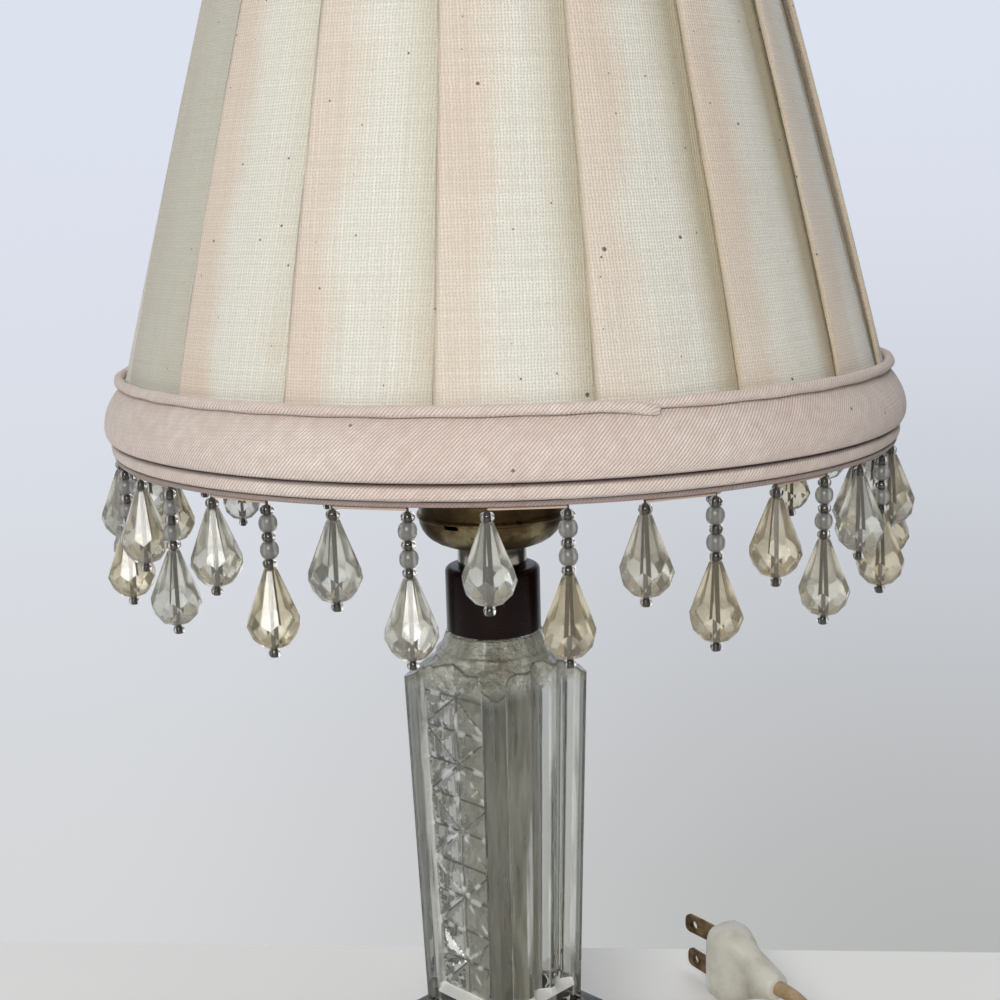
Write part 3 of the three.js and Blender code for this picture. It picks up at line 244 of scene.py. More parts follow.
def sky_band(axis, low, high, first, second):
    """Colour that runs from first to second as the heading's share along an axis rises."""
    ends = {"Value": split[axis], "From Min": low, "From Max": high}
    rise = new_node(sky, "ShaderNodeMapRange", ends, interpolation_type="SMOOTHSTEP").outputs[0]
    return new_node(sky, "ShaderNodeMix", {0: rise, 6: first, 7: second}, data_type="RGBA").outputs[2]


low_wall = sky_band(0, -0.28, 0.28, (0.66, 0.67, 0.675), (0.46, 0.465, 0.46))
wall_tone = sky_band(2, -0.5, 0.1, low_wall, (0.72, 0.76, 0.86))
room_tone = sky_band(0, -0.6, 0.6, (0.12, 0.12, 0.12), (0.03, 0.03, 0.03))
room_tone = sky_band(2, 0.5, 0.9, room_tone, (0.75, 0.75, 0.75))
sky_tone = sky_band(1, 0.62, 0.87, room_tone, wall_tone)
in_sight = new_node(sky, "ShaderNodeLightPath").outputs["Is Camera Ray"]
backdrop = new_node(sky, "ShaderNodeMix", {0: in_sight, 6: sky_tone, 7: wall_tone}, data_type="RGBA")
put_in(sky, sky.nodes["Background"].inputs["Color"], backdrop.outputs[2])
bpy.context.scene.world = world
bpy.context.scene.view_settings.view_transform = "Standard"


# Cord: a round tan lead, 4.8 mm thick, moulded in one length with its jacket. It leaves the foot at
# the back, runs round to the right and is wound away in a neat two-layer coil, and its end comes
# back behind the lamp to the plug. The route's points are those of the part, in millimetres.
CORD_RADIUS, CORD_LENGTH, CORD_SIDES = 2.4, 1.62, 14
SLAB_SIDE, EXIT_HEIGHT, GAP = 80, 7, 0.3
BUSHING_END = SLAB_SIDE / 2 + 22
COIL_CENTRE, COIL_RADIUS, COIL_PITCH, COIL_LAYER = (97, -33), 39.5, 5.25, 5.3
COIL_START, COIL_END = 180, 33.2
COIL_TURNS, COIL_TURN_POINTS, SHORT_TURN = 8 + (COIL_END - COIL_START) / 360, 48, 0.004
PLUG_FACE, PLUG_BEARING, PLUG_LENGTH = (72.7, 76, 12.6), math.radians(123.3), 27
ROUTE_ON_TABLE = [
    (81.7, 44.7), (85.7, 37.9), (87.3, 30.1), (86.2, 22.2), (82.6, 15.1), (77.5, 9), (72.4, 2.9),
    (67.3, -3.2), (63.1, -10), (60, -17.3), (58.1, -25.1), (57.6, -29),
]


def smooth_path(points, steps=10):
    """Points along a centripetal curve through the given points."""
    given = [Vector(point) for point in points]
    given = [2 * given[0] - given[1], *given, 2 * given[-1] - given[-2]]
    path = []
    for a, b, c, d in zip(given, given[1:], given[2:], given[3:]):
        before, here, after = ((q - p).length ** 0.5 for p, q in ((a, b), (b, c), (c, d)))
        leave = ((b - a) / before - (c - a) / (before + here) + (c - b) / here) * here
        arrive = ((c - b) / here - (d - b) / (here + after) + (d - c) / after) * here
        for step in range(steps):
            t = step / steps
            path.append(
                b * (2 * t**3 - 3 * t**2 + 1) + leave * (t**3 - 2 * t**2 + t)
                + c * (3 * t**2 - 2 * t**3) + arrive * (t**3 - t**2)
            )
    return [*path, given[-2]]


def make_piece(name, points, faces, material, body, slot, uvs=None, sharp=35):
    """A mesh piece from points in millimetres. uvs, one for each point, are in millimetres too."""
    piece = new_object(name, points, faces)
    mesh = piece.data
    mesh.validate()
    if uvs is not None:
        layer = mesh.uv_layers.new(name="UVMap")
        corners = np.empty(len(mesh.loops), dtype=np.int32)
        mesh.loops.foreach_get("vertex_index", corners)
        layer.data.foreach_set("uv", np.asarray(uvs, dtype=np.float32)[corners].ravel())
    mesh.shade_smooth()
    mesh.set_sharp_from_angle(angle=math.radians(sharp))
    mesh.materials.append(material)
    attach(piece, body)
    return piece


def skin(rings, loop=False, caps=True):
    """Points and faces of a skin over rings of equally many points. loop joins the last to the first."""
    count = len(rings[0])
    points = [tuple(point) for ring in rings for point in ring]
    faces = []
    for i in range(len(rings) if loop else len(rings) - 1):
        low, high = i * count, (i + 1) % len(rings) * count
        for k in range(count):
            nxt = (k + 1) % count
            faces.append((low + k, low + nxt, high + nxt, high + k))
    if caps and not loop:
        faces.append(tuple(reversed(range(count))))
        faces.append(tuple(range(len(points) - count, len(points))))
    return points, faces


def tube_mesh(path, radius, sides, closed=False):
    """Points, faces and uvs of a tube round a path. radius is a number, or one for each point."""
    path = [Vector(point) for point in path]
    count = len(path)
    radii = [radius] * count if np.isscalar(radius) else radius
    rings, uvs = [], []
    side, travelled = None, 0.0
    for i, here in enumerate(path):
        before = path[i - 1] if i or closed else here
        after = path[(i + 1) % count] if i + 1 < count or closed else here
        along = (after - before).normalized()
        side = side or along.orthogonal().normalized()
        side = (side - along * side.dot(along)).normalized()
        across = along.cross(side)
        travelled += (here - path[i - 1]).length if i else 0.0
        ring = []
        for k in range(sides):
            angle = 2 * math.pi * k / sides
            ring.append(here + radii[i] * (side * math.cos(angle) + across * math.sin(angle)))
            uvs.append((radii[i] * abs(angle - math.pi), travelled))
        rings.append(ring)
    return *skin(rings, loop=closed), uvs


def worn_finish(name, tones, patches, dirt=None, stain=None, most=1, rough=None, relief=None,
                depth=0.00004, strength=0.5, **values):
    """A finish of two tones in patches, stained where there is dirt and slightly uneven.

    patches, dirt and relief hold blotches' settings. Dirt is the patches where it isn't given, and relief
    is the dirt. rough holds the roughness of clean and of dirty places.
    """
    made = Finish(name, **values)
    spread = made.blotches(*patches)
    dirty = made.blotches(*dirt) if dirt else spread
    colour = made.mixed(spread, *tones)
    if stain:
        colour = made.mixed(dirty, colour, stain, most)
    if rough:
        made.finished(Roughness=made.span(dirty, 0, 1, *rough))
    height = made.blotches(*relief) if relief else dirty
    return made.finished(Base_Color=colour, Normal=made.raised(height, depth, strength))


def exit_at(distance, height=EXIT_HEIGHT):
    return (distance * math.sqrt(0.5), distance * math.sqrt(0.5), height)


def coil_point(turn):
    wound = min(turn, COIL_TURNS - turn)
    climb = min(max(2 * (turn - COIL_TURNS / 2) + 0.5, 0), 1)
    radius = COIL_RADIUS - COIL_PITCH * wound
    angle = math.radians(COIL_START) + 2 * math.pi * turn
    x, y = COIL_CENTRE
    height = CORD_RADIUS + COIL_LAYER * climb * climb * (3 - 2 * climb)
    return Vector((x + radius * math.cos(angle), y + radius * math.sin(angle), height))


def beyond(point, heading, distance, drop=0.0):
    """A point so far along a level heading from another, and lower by drop."""
    moved = point + heading * distance
    moved.z = point.z - drop
    return moved


coil_in, coil_out = coil_point(0), coil_point(COIL_TURNS)
heading_out = (coil_out - coil_point(COIL_TURNS - SHORT_TURN)).normalized()
plug_heading = Vector((math.cos(PLUG_BEARING), math.sin(PLUG_BEARING), 0))
plug_rear = Vector(PLUG_FACE) - plug_heading * PLUG_LENGTH
route_to_coil = [
    exit_at(BUSHING_END - GAP), exit_at(BUSHING_END + 3.5, 6.7),
    (52.8, 50.9, 5.6), (60.4, 53.2, 4.5), (68.3, 52.8, 3.5), (75.7, 49.9, 2.8),
    *((x, y, CORD_RADIUS) for x, y in ROUTE_ON_TABLE),
]
coil_steps = round(COIL_TURNS * COIL_TURN_POINTS)
wound_route = [coil_point(COIL_TURNS * step / coil_steps) for step in range(coil_steps + 1)]
route_to_plug = [beyond(coil_out, heading_out, *step) for step in ((10, 0.6), (22, 2.2), (34, 3.2))]
route_to_plug += [
    beyond(plug_rear, plug_heading, *step) for step in ((-26, 6.4), (-14, 2.2), (-6,), (1,))
]
cord_route = (
    smooth_path([*route_to_coil, coil_in])[:-1]
    + wound_route[:-1]
    + smooth_path([coil_out, *route_to_plug])
)
cord_jacket = worn_finish(
    "cord_jacket", ((0.50, 0.37, 0.22), (0.40, 0.28, 0.155)), (90,), (900, 2), (0.2, 0.13, 0.07), 0.3,
    depth=0.00008, Roughness=0.42, Specular_IOR_Level=0.4,
)
cord = make_piece(
    "mains_cord", *tube_mesh(cord_route, CORD_RADIUS, CORD_SIDES)[:2], cord_jacket, "base", "cord"
)
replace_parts(cord, "cord_to_coil", "cord_coil", "cord_to_plug")


# Plug: a small two-blade plug of off-white hard plastic, laid on edge. Its moulded body narrows to a
# waist for finger and thumb, with a parting line round its edge, and its flat brass blades have gone
# brown and are a little bent.
PLUG_WIDTH, PLUG_THICKNESS = 25, 15
PLUG_OUTLINE = [
    (0, 0.30, 0.50), (0.03, 0.34, 0.6), (0.2, 0.44, 0.7), (0.42, 0.66, 0.6), (0.66, 0.94, 0.84),
    (0.78, 1, 0.98), (0.9, 1, 1), (0.965, 0.995, 0.99), (0.99, 0.97, 0.95), (1, 0.92, 0.88),
]
PLUG_RING_POINTS = 56
PLUG_ROUNDNESS, PLUG_SQUARED, PLUG_SQUARE_FROM = 2.0, 2.2, 0.7
PARTING_RIDGE = 0.14
BLADE_SPACING, BLADE_WIDTH, BLADE_THICKNESS = 12.7, 6.3, 1.5
BLADE_LENGTH, BLADE_ROOTED, BLADE_CORNER = 17, 8, 2.2
BLADE_HOLE_RADIUS, BLADE_HOLE_IN = 1.6, 4.2
BLADE_CORNER_STEPS, BLADE_SIDE_STEPS = 8, 14
BLADE_BENDS = (0.7, -0.55)


def in_plug(along, across, upward):
    """A point of the plug: how far past its face, across it level, and above its middle."""
    heading = np.array((math.cos(PLUG_BEARING), math.sin(PLUG_BEARING), 0))
    aside = np.array((-math.sin(PLUG_BEARING), math.cos(PLUG_BEARING), 0))
    return PLUG_FACE + heading * along + aside * across + (0, 0, upward)


def plug_mesh():
    rings = []
    for along, wide, thick in smooth_path(PLUG_OUTLINE, steps=6):
        ring = []
        squareness = PLUG_ROUNDNESS + PLUG_SQUARED * min(1, along / PLUG_SQUARE_FROM)
        for k in range(PLUG_RING_POINTS):
            angle = 2 * math.pi * k / PLUG_RING_POINTS
            c, s = math.cos(angle), math.sin(angle)
            reach = (abs(c) ** squareness + abs(s) ** squareness) ** (-1 / squareness)
            ridge = PARTING_RIDGE if k % (PLUG_RING_POINTS // 2) == PLUG_RING_POINTS // 4 else 0
            across, upward = PLUG_THICKNESS / 2 * thick * c * reach, PLUG_WIDTH / 2 * wide * s * reach
            ring.append(in_plug(PLUG_LENGTH * (along - 1), across, upward + ridge * s))
        rings.append(ring)
    return skin(rings)


def blade_mesh(side, bend):
    middle = side * BLADE_SPACING / 2
    hole = BLADE_LENGTH - BLADE_HOLE_IN
    half, end = BLADE_WIDTH / 2, BLADE_LENGTH - BLADE_CORNER
    corner_steps, side_steps = range(BLADE_CORNER_STEPS + 1), range(1, BLADE_SIDE_STEPS)
    outline = [(-BLADE_ROOTED, half - 2 * half * k / BLADE_CORNER_STEPS) for k in corner_steps]
    outline += [(-BLADE_ROOTED + (end + BLADE_ROOTED) * k / BLADE_SIDE_STEPS, -half) for k in side_steps]
    for k in corner_steps:
        angle = math.radians(90 * k / BLADE_CORNER_STEPS)
        outline.append((end + BLADE_CORNER * math.sin(angle), BLADE_CORNER * (1 - math.cos(angle)) - half))
    outline += [(x, -y) for x, y in reversed(outline[len(corner_steps):])]
    rings = []
    half_thick = BLADE_THICKNESS / 2
    # The last two numbers of a ring: its level in the blade's thickness, and how far its edge is eased
    for inside, level, eased in (
        (True, 1, 0), (False, 1, 0.25), (False, 0.6, 0), (False, -0.6, 0), (False, -1, 0.25), (True, -1, 0),
    ):
        ring = []
        for x, y in outline:
            if inside:
                angle = math.atan2(y, x - hole)
                x, y = hole + BLADE_HOLE_RADIUS * math.cos(angle), BLADE_HOLE_RADIUS * math.sin(angle)
            else:
                y *= 1 - eased / half
                x -= eased if x > 0 else 0
            sway = bend * max(x / BLADE_LENGTH, 0) ** 2
            ring.append(in_plug(x, level * half_thick + sway, middle + y))
        rings.append(ring)
    return skin(rings, loop=True)


def old_metal(name, bright, dull, scale, rough, dents=0.00008):
    """Metal that is bright where it is worn and dull in patches, with fine dents."""
    return worn_finish(
        name, (bright, dull), (scale, 5, 0.32, 0.68), rough=rough, relief=(8 * scale,), depth=dents,
        strength=0.6, Metallic=1.0,
    )


plug_plastic = worn_finish(
    "plug_plastic", ((0.70, 0.70, 0.635), (0.62, 0.61, 0.53)), (30, 2), (160, 5, 0.42, 0.75),
    (0.30, 0.25, 0.17), 0.45, (0.32, 0.6), (700, 2), 0.00005, Specular_IOR_Level=0.45, Coat_Weight=0.1,
)
plug_body = make_piece("plug_moulding", *plug_mesh(), plug_plastic, "base", "plug_plastic", sharp=60)
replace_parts(plug_body, "plug_body")
blade_brass = old_metal("blade_brass", (0.30, 0.20, 0.10), (0.09, 0.055, 0.03), 220, (0.3, 0.6))
for number, side, bend in zip((1, 2), (1, -1), BLADE_BENDS):
    name = "plug_prong_%d" % number
    blade = make_piece(name, *blade_mesh(side, bend), blade_brass, "base", "blade", sharp=40)
    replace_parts(blade, "plug_blade_%d" % number)


# Foot fittings: a brown felt pad glued under the glass, a black moulded bushing with a ribbed, tapering
# sleeve where the cord leaves at the back, and the cord's way inside, up through the threaded pipe.
BUSHING_START = 23
BUSHING_RADIUS, BUSHING_TIP_RADIUS, BUSHING_BORE = 4.2, 3.4, 2.7
FLANGE_RADIUS, FLANGE_START, FLANGE_END = 5.7, 17.3, 18.9
RELIEF_RIBS, RELIEF_SKIN = 7, 0.35
RELIEF_RIB = [(0.04, 0.55), (0.3, 0.55), (0.38, 0.06), (0.45, 0), (0.9, 0), (0.98, 0.08)]
PIPE_TOP = 178.7


def lathe(profile, sides, vary=None):
    """Points and faces of a profile turned round Z, up its outside and down its inside.

    Where the profile starts or ends at radius 0 it is closed at the axis there. vary gives a change of
    radius for an angle, a radius and a height.
    """
    starts, ends = profile[0][0] == 0, profile[-1][0] == 0
    rings = []
    for radius, height in profile:
        if radius == 0:
            continue
        ring = []
        for k in range(sides):
            angle = 2 * math.pi * k / sides
            reach = radius + (vary(angle, radius, height) if vary else 0)
            ring.append((reach * math.cos(angle), reach * math.sin(angle), height))
        rings.append(ring)
    points, faces = skin(rings, loop=not starts and not ends, caps=False)
    last = len(points) - sides
    if starts:
        faces.extend(((k + 1) % sides, k, len(points)) for k in range(sides))
        points.append((0, 0, profile[0][1]))
    if ends:
        faces.extend((last + k, last + (k + 1) % sides, len(points)) for k in range(sides))
        points.append((0, 0, profile[-1][1]))
    return points, faces


def laid(points, heading, start):
    """Points drawn up Z, turned to point along a level heading and moved to a start."""
    ways = np.array(((-heading[1], heading[0], 0), (0, 0, 1), heading), dtype=float)
    return np.asarray(points) @ ways + start


def bushing_profile():
    sleeve_start, sleeve_end = FLANGE_END + 0.6, BUSHING_END - BUSHING_START
    bore, tube, flange = BUSHING_BORE, BUSHING_RADIUS, FLANGE_RADIUS
    outside = [
        (bore, 0), (tube - 0.4, 0), (tube, 0.4), (tube, FLANGE_START), (flange - 0.3, FLANGE_START),
        (flange, FLANGE_START + 0.3), (flange, FLANGE_END - 0.5), (flange - 0.5, FLANGE_END),
        (tube, FLANGE_END),
    ]
    pitch = (sleeve_end - sleeve_start) / RELIEF_RIBS
    for rib in range(RELIEF_RIBS):
        for along, sunk in RELIEF_RIB:
            share = (rib + along) / RELIEF_RIBS
            radius = tube + (BUSHING_TIP_RADIUS - tube) * share
            sunk = min(sunk, radius - bore - RELIEF_SKIN)
            outside.append((radius - sunk, sleeve_start + pitch * (rib + along)))
    return outside + [(BUSHING_TIP_RADIUS - 0.2, sleeve_end), (bore, sleeve_end)]


def felt_finish():
    felt = Finish("brown_felt", Roughness=0.95, Sheen_Weight=0.35, Sheen_Roughness=0.6)
    tangle = felt.blotches(2200, 4, where=felt.drawn_out((1, 0.3, 1), (0, 0, 0.7)))
    colour = felt.mixed(tangle, (0.085, 0.058, 0.036), (0.15, 0.105, 0.068))
    return felt.finished(Base_Color=colour, Normal=felt.raised(tangle, 0.0003, 0.8))


dark_plastic = worn_finish(
    "dark_plastic", ((0.012, 0.009, 0.007), (0.045, 0.032, 0.024)), (300, 5, 0.45, 0.75), rough=(0.25, 0.55),
    relief=(1600, 2),
)
bushing_points, bushing_faces = lathe(bushing_profile(), 36)
exit_heading = (math.sqrt(0.5), math.sqrt(0.5), 0)
bushing_laid = laid(bushing_points, exit_heading, exit_at(BUSHING_START))
bushing = make_piece(
    "strain_relief", bushing_laid, bushing_faces, dark_plastic, "base", "dark_plastic", sharp=40
)
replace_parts(bushing, "cord_bushing")
inside_route = [
    exit_at(BUSHING_END - GAP), exit_at(50), exit_at(35), exit_at(20), exit_at(11, 7.2), exit_at(5, 8.4),
    exit_at(1.6, 11), (0, 0, 15), (0, 0, 24), (0, 0, 80), (0, 0, PIPE_TOP + 3),
]
inner_tube = tube_mesh(smooth_path(inside_route, 8), CORD_RADIUS, 12)[:2]
inner_cord = make_piece("cord_through_pipe", *inner_tube, cord_jacket, "base", "cord")
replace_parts(inner_cord, "cord_inside")
felt = frame["nodes"]["felt_pad"]
felt.material_slots[0].material = felt_finish()


# Glass body: one pressed piece of clear soda glass, faintly grey-green, with a stepped square foot, a
# column laid corner-on and a round ledge under its neck. One face carries a row of pressed stars and
# three carry flutes. The stem's bore is dull and grimy, and rust has run from the collar over the ledge.
SLAB_BOTTOM, SLAB_TOP = 1.8, 18
STEP_SIDE, STEP_TOP = 58, 30
PLINTH_SIDE, COLUMN_BOTTOM = 42, 40
FOOT_BEVEL = 2.4
COLUMN_HEIGHT, COLUMN_BOTTOM_SIDE, COLUMN_TOP_SIDE = 96, 31.2, 35.8
CORNER_FLAT = 1.2
SHOULDER_RISE, LEDGE_RADIUS, LEDGE_HEIGHT = 6.8, 15.6, 1.9
GLASS_NECK_RADIUS, GLASS_NECK_HEIGHT = 13.2, 4.5
BORE_RADIUS, CAVITY_RADIUS, CAVITY_TOP = 10, 24, 22
PANEL_SILL, PANEL_MARGIN, PANEL_DEPTH, SILL_DROP = 8, 5.8, 2.4, 1.8
STAR_COUNT, STAR_RELIEF, STAR_HEART = 5, 2.3, 0.5
STAR_STEPS, SHOULDER_ROUNDS = 12, 6
FLUTE_COUNT, FLUTE_MARGIN, FLUTE_RIB = 3, 4, 1.8
FLUTE_DEPTH, FLUTE_EDGE_DEPTH, MIDDLE_FLUTE_EXTRA = 2.6, 0.9, 0.5
FLUTE_STEPS = 12
PANEL_EDGE = 0.35
LEDGE_BOTTOM = COLUMN_BOTTOM + COLUMN_HEIGHT + SHOULDER_RISE
GLASS_TOP = LEDGE_BOTTOM + LEDGE_HEIGHT + GLASS_NECK_HEIGHT
PANEL_BOTTOM, PANEL_TOP = COLUMN_BOTTOM + PANEL_SILL, LEDGE_BOTTOM + GAP
GLASS_TINT, POST_TINT = (0.60, 0.61, 0.565), (0.345, 0.35, 0.325)
BORE_PALE, BORE_GRIME = (0.99, 0.98, 0.88), (0.64, 0.62, 0.48)
# The tones for the star lines, the flute ribs and the panels' top edge are painted shade.
LINE_SHADE, RIB_SHADE, RIM_SHADE = (0.07, 0.07, 0.06), (0.09, 0.09, 0.075), (0.10, 0.10, 0.085)
# The edge tone is a painted highlight.
EDGE_HIGHLIGHT, SILL_LIGHT, RUST_BROWN = (0.88, 0.89, 0.87), (0.80, 0.81, 0.78), (0.22, 0.15, 0.09)
RUST_PLACE = (0.0015, -0.0145, 0.1445)
HOLE_START, HOLE_LENGTH, GLASS_SHARP, NO_RIB = 20, 22, 11, 9


def between(first, second, share):
    return first + (second - first) * share


def column_side(height):
    return between(COLUMN_BOTTOM_SIDE, COLUMN_TOP_SIDE, (height - COLUMN_BOTTOM) / COLUMN_HEIGHT)


def star_depth(across, up):
    """Depth of the star panel, across from -1 to 1 and up from -1 to 1 in one cell."""
    a, b = np.abs(across), np.abs(up)
    steep = b >= a
    nearest = np.minimum(1 - np.maximum(a, b), np.minimum(np.abs(b - a), np.minimum(a, b)))
    heart = np.where(steep, 1 - b, 1 - a)
    return PANEL_DEPTH + STAR_HEART * heart - 3 * STAR_RELIEF * nearest


def flute_depth(across, half):
    """Depth of the fluted panel at a distance across a panel of half width half."""
    width = (2 * half - (FLUTE_COUNT - 1) * FLUTE_RIB) / FLUTE_COUNT
    place = (across + half) / (width + FLUTE_RIB)
    flute = np.clip(np.floor(place), 0, FLUTE_COUNT - 1)
    share = np.clip((place - flute) * (width + FLUTE_RIB) / width, 0, 1)
    deepest = FLUTE_DEPTH + MIDDLE_FLUTE_EXTRA * (flute == FLUTE_COUNT // 2)
    return FLUTE_EDGE_DEPTH + (deepest - FLUTE_EDGE_DEPTH) * np.sin(np.pi * share)


def face_places(starred):
    """Places across a face: pairs of a share of the panel's half width and a distance past it."""
    if starred:
        margin, panel = PANEL_MARGIN, np.linspace(-1, 1, 2 * STAR_STEPS + 1)
    else:
        half = COLUMN_TOP_SIDE / 2 - FLUTE_MARGIN
        width = (2 * half - (FLUTE_COUNT - 1) * FLUTE_RIB) / FLUTE_COUNT
        starts = [-half + flute * (width + FLUTE_RIB) for flute in range(FLUTE_COUNT)]
        across = [start + width * np.linspace(0, 1, FLUTE_STEPS + 1) for start in starts]
        margin, panel = FLUTE_MARGIN, np.concatenate(across) / half
    outside = [margin - CORNER_FLAT * 0.7, margin - 1.6, margin / 2, 0.9, PANEL_EDGE]
    left, right = [(-1, -past) for past in outside], [(1, past) for past in reversed(outside)]
    return left + [(share, 0) for share in panel] + right, margin


faces_across = [face_places(face == 0) for face in range(4)]


def glass_ring(side, height, sunk=True, round_radius=None):
    """One ring of the glass. It is square, or a circle where round_radius is given."""
    ring = []
    height = np.asarray(height, dtype=float)
    start = 0
    for face, (places, margin) in enumerate(faces_across):
        count = len(places)
        shares = np.array([share for share, past in places])
        pasts = np.array([past for share, past in places])
        level = height[start:start + count] if height.ndim else np.full(count, float(height))
        start += count
        sides = side(level) if callable(side) else np.full(count, float(side))
        half = sides / 2 - margin
        across = shares * half + pasts
        depth = np.zeros(count)
        if sunk:
            inside = np.clip((half - np.abs(across)) / PANEL_EDGE + 1, 0, 1)
            if face == 0:
                cell = (level - PANEL_BOTTOM) / (PANEL_TOP - PANEL_BOTTOM) * STAR_COUNT
                up = (cell - np.floor(np.clip(cell, 0, STAR_COUNT - 0.001))) * 2 - 1
                panel = star_depth(np.clip(across / half, -1, 1), np.clip(up, -1, 1))
            else:
                panel = flute_depth(np.clip(across, -half, half), half)
            sill = np.clip((level - PANEL_BOTTOM + SILL_DROP) / SILL_DROP, 0, 1)
            depth = panel * inside * sill
        angle = math.radians(-45 + 90 * face)
        if round_radius is None:
            out = sides / 2 - depth
            corner = np.clip(np.abs(across) - sides / 2 + CORNER_FLAT, 0, None)
            out = out - corner * corner / CORNER_FLAT * 0.6
            x, y = across, -out
        else:
            turn = np.arctan2(shares * (COLUMN_TOP_SIDE / 2 - margin) + pasts, COLUMN_TOP_SIDE / 2)
            x, y = round_radius * np.sin(turn), -round_radius * np.cos(turn)
        ring.append(np.stack([
            x * math.cos(angle) - y * math.sin(angle),
            x * math.sin(angle) + y * math.cos(angle),
            level,
        ], axis=1))
    return np.concatenate(ring)


def glass_rings():
    """All the rings of the glass: up the outside, down the bore, and out to the foot's rim."""
    def square(side, height):
        return glass_ring(side, height, sunk=False)

    def circle(radius, height):
        return glass_ring(1, height, sunk=False, round_radius=radius)

    rings = []
    for side, bottom, top, rounding in (
        (SLAB_SIDE, SLAB_BOTTOM, SLAB_TOP, 0.8), (STEP_SIDE, SLAB_TOP, STEP_TOP, 0.3),
        (PLINTH_SIDE, STEP_TOP, COLUMN_BOTTOM, 0.3),
    ):
        rings.append(square(side - 2 * rounding, bottom))
        rings.append(square(side - rounding * 0.6, bottom + rounding * 0.3))
        rings.append(square(side, bottom + rounding))
        rings.append(square(side, (bottom + top) / 2))
        for angle in np.linspace(0, math.pi / 2, 6):
            in_by, down_by = FOOT_BEVEL * (1 - math.cos(angle)), FOOT_BEVEL * (1 - math.sin(angle))
            rings.append(square(side - 2 * in_by, top - down_by))
    for wider, higher in ((1.4, 0.05), (0.4, 0.3), (0.1, 0.9)):
        rings.append(square(COLUMN_BOTTOM_SIDE + wider, COLUMN_BOTTOM + higher))
    cell_rows, cell_height = 2 * STAR_STEPS, (PANEL_TOP - PANEL_BOTTOM) / STAR_COUNT
    heights = [*np.linspace(COLUMN_BOTTOM + 3, PANEL_BOTTOM - SILL_DROP, 4), PANEL_BOTTOM - SILL_DROP / 2]
    for row in range((STAR_COUNT - 1) * cell_rows + 1):
        heights.append(PANEL_BOTTOM + cell_height * row / cell_rows)
    # The shoulder slopes from the ledge, so it meets the sunk panels lower down than the ribs
    slope = SHOULDER_RISE / (COLUMN_TOP_SIDE / math.sqrt(2) - LEDGE_RADIUS)
    last_cell = PANEL_TOP - cell_height
    shoulder = np.full(len(rings[-1]), LEDGE_BOTTOM - 1.0)
    for _ in range(SHOULDER_ROUNDS):
        reach = np.linalg.norm(glass_ring(column_side, shoulder)[:, :2], axis=1)
        shoulder = np.minimum(LEDGE_BOTTOM - 0.02, LEDGE_BOTTOM - slope * (reach - LEDGE_RADIUS))
    for row in range(1, cell_rows + 1):
        heights.append(last_cell + (shoulder - last_cell) * row / cell_rows)
    rings.extend(glass_ring(column_side, height) for height in heights)
    edge_row, edge = len(rings) - 1, rings[-1]
    for share in (0.06, 0.3, 0.65, 0.95):
        rings.append(edge + (circle(LEDGE_RADIUS, LEDGE_BOTTOM) - edge) * share)
    for radius, height, steps in (
        (LEDGE_RADIUS, LEDGE_BOTTOM, ((0.25, 0.25), (0.4, LEDGE_HEIGHT * 0.45), (0.2, LEDGE_HEIGHT * 0.8))),
        (LEDGE_RADIUS, LEDGE_BOTTOM + LEDGE_HEIGHT, ((-0.5, 0), (-0.9, 0.1))),
        (LEDGE_RADIUS, GLASS_TOP, ((-1.1, -3.6), (-1.4, -3.3))),
        (GLASS_NECK_RADIUS, GLASS_TOP, ((0.3, -1.2), (-0.1, -0.3), (-0.8, 0))),
        (BORE_RADIUS, GLASS_TOP, ((0.4, 0), (0, -0.4))),
        (BORE_RADIUS, CAVITY_TOP, ((0, 83), (0, 41), (0, 0.5), (0.5, 0))),
        (CAVITY_RADIUS, CAVITY_TOP, ((-1, 0), (0, -1))),
        (CAVITY_RADIUS, SLAB_BOTTOM, ((0, 0.3), (0.3, 0))),
    ):
        rings.extend(circle(radius + out, height + up) for out, up in steps)
    return np.array(rings), edge_row


def ring_faces(rings):
    """Triangles round closed rings, each square split along the diagonal that follows the surface best."""
    count = rings.shape[1]
    faces = []
    for i, low in enumerate(rings):
        above = (i + 1) % len(rings)
        high = rings[above]
        low_next, high_next = np.roll(low, -1, axis=0), np.roll(high, -1, axis=0)
        bend = []
        for p, q, r, s in ((low, low_next, high_next, high), (low_next, high_next, high, low)):
            first = np.cross(q - p, r - p)
            second = np.cross(r - p, s - p)
            size = np.linalg.norm(first, axis=1) * np.linalg.norm(second, axis=1) + 1e-12
            bend.append(np.einsum("ij,ij->i", first, second) / size)
        for k in range(count):
            nxt = (k + 1) % count
            a, b, c, d = i * count + k, i * count + nxt, above * count + nxt, above * count + k
            faces.extend(((a, b, c), (a, c, d)) if bend[0][k] >= bend[1][k] else ((a, b, d), (b, c, d)))
    return faces


def mark(piece, name, values):
    """Stores a number for each point of a piece, for its material to read."""
    layer = piece.data.attributes.new(name, "FLOAT", "POINT")
    layer.data.foreach_set("value", np.asarray(values, dtype=np.float32).ravel())


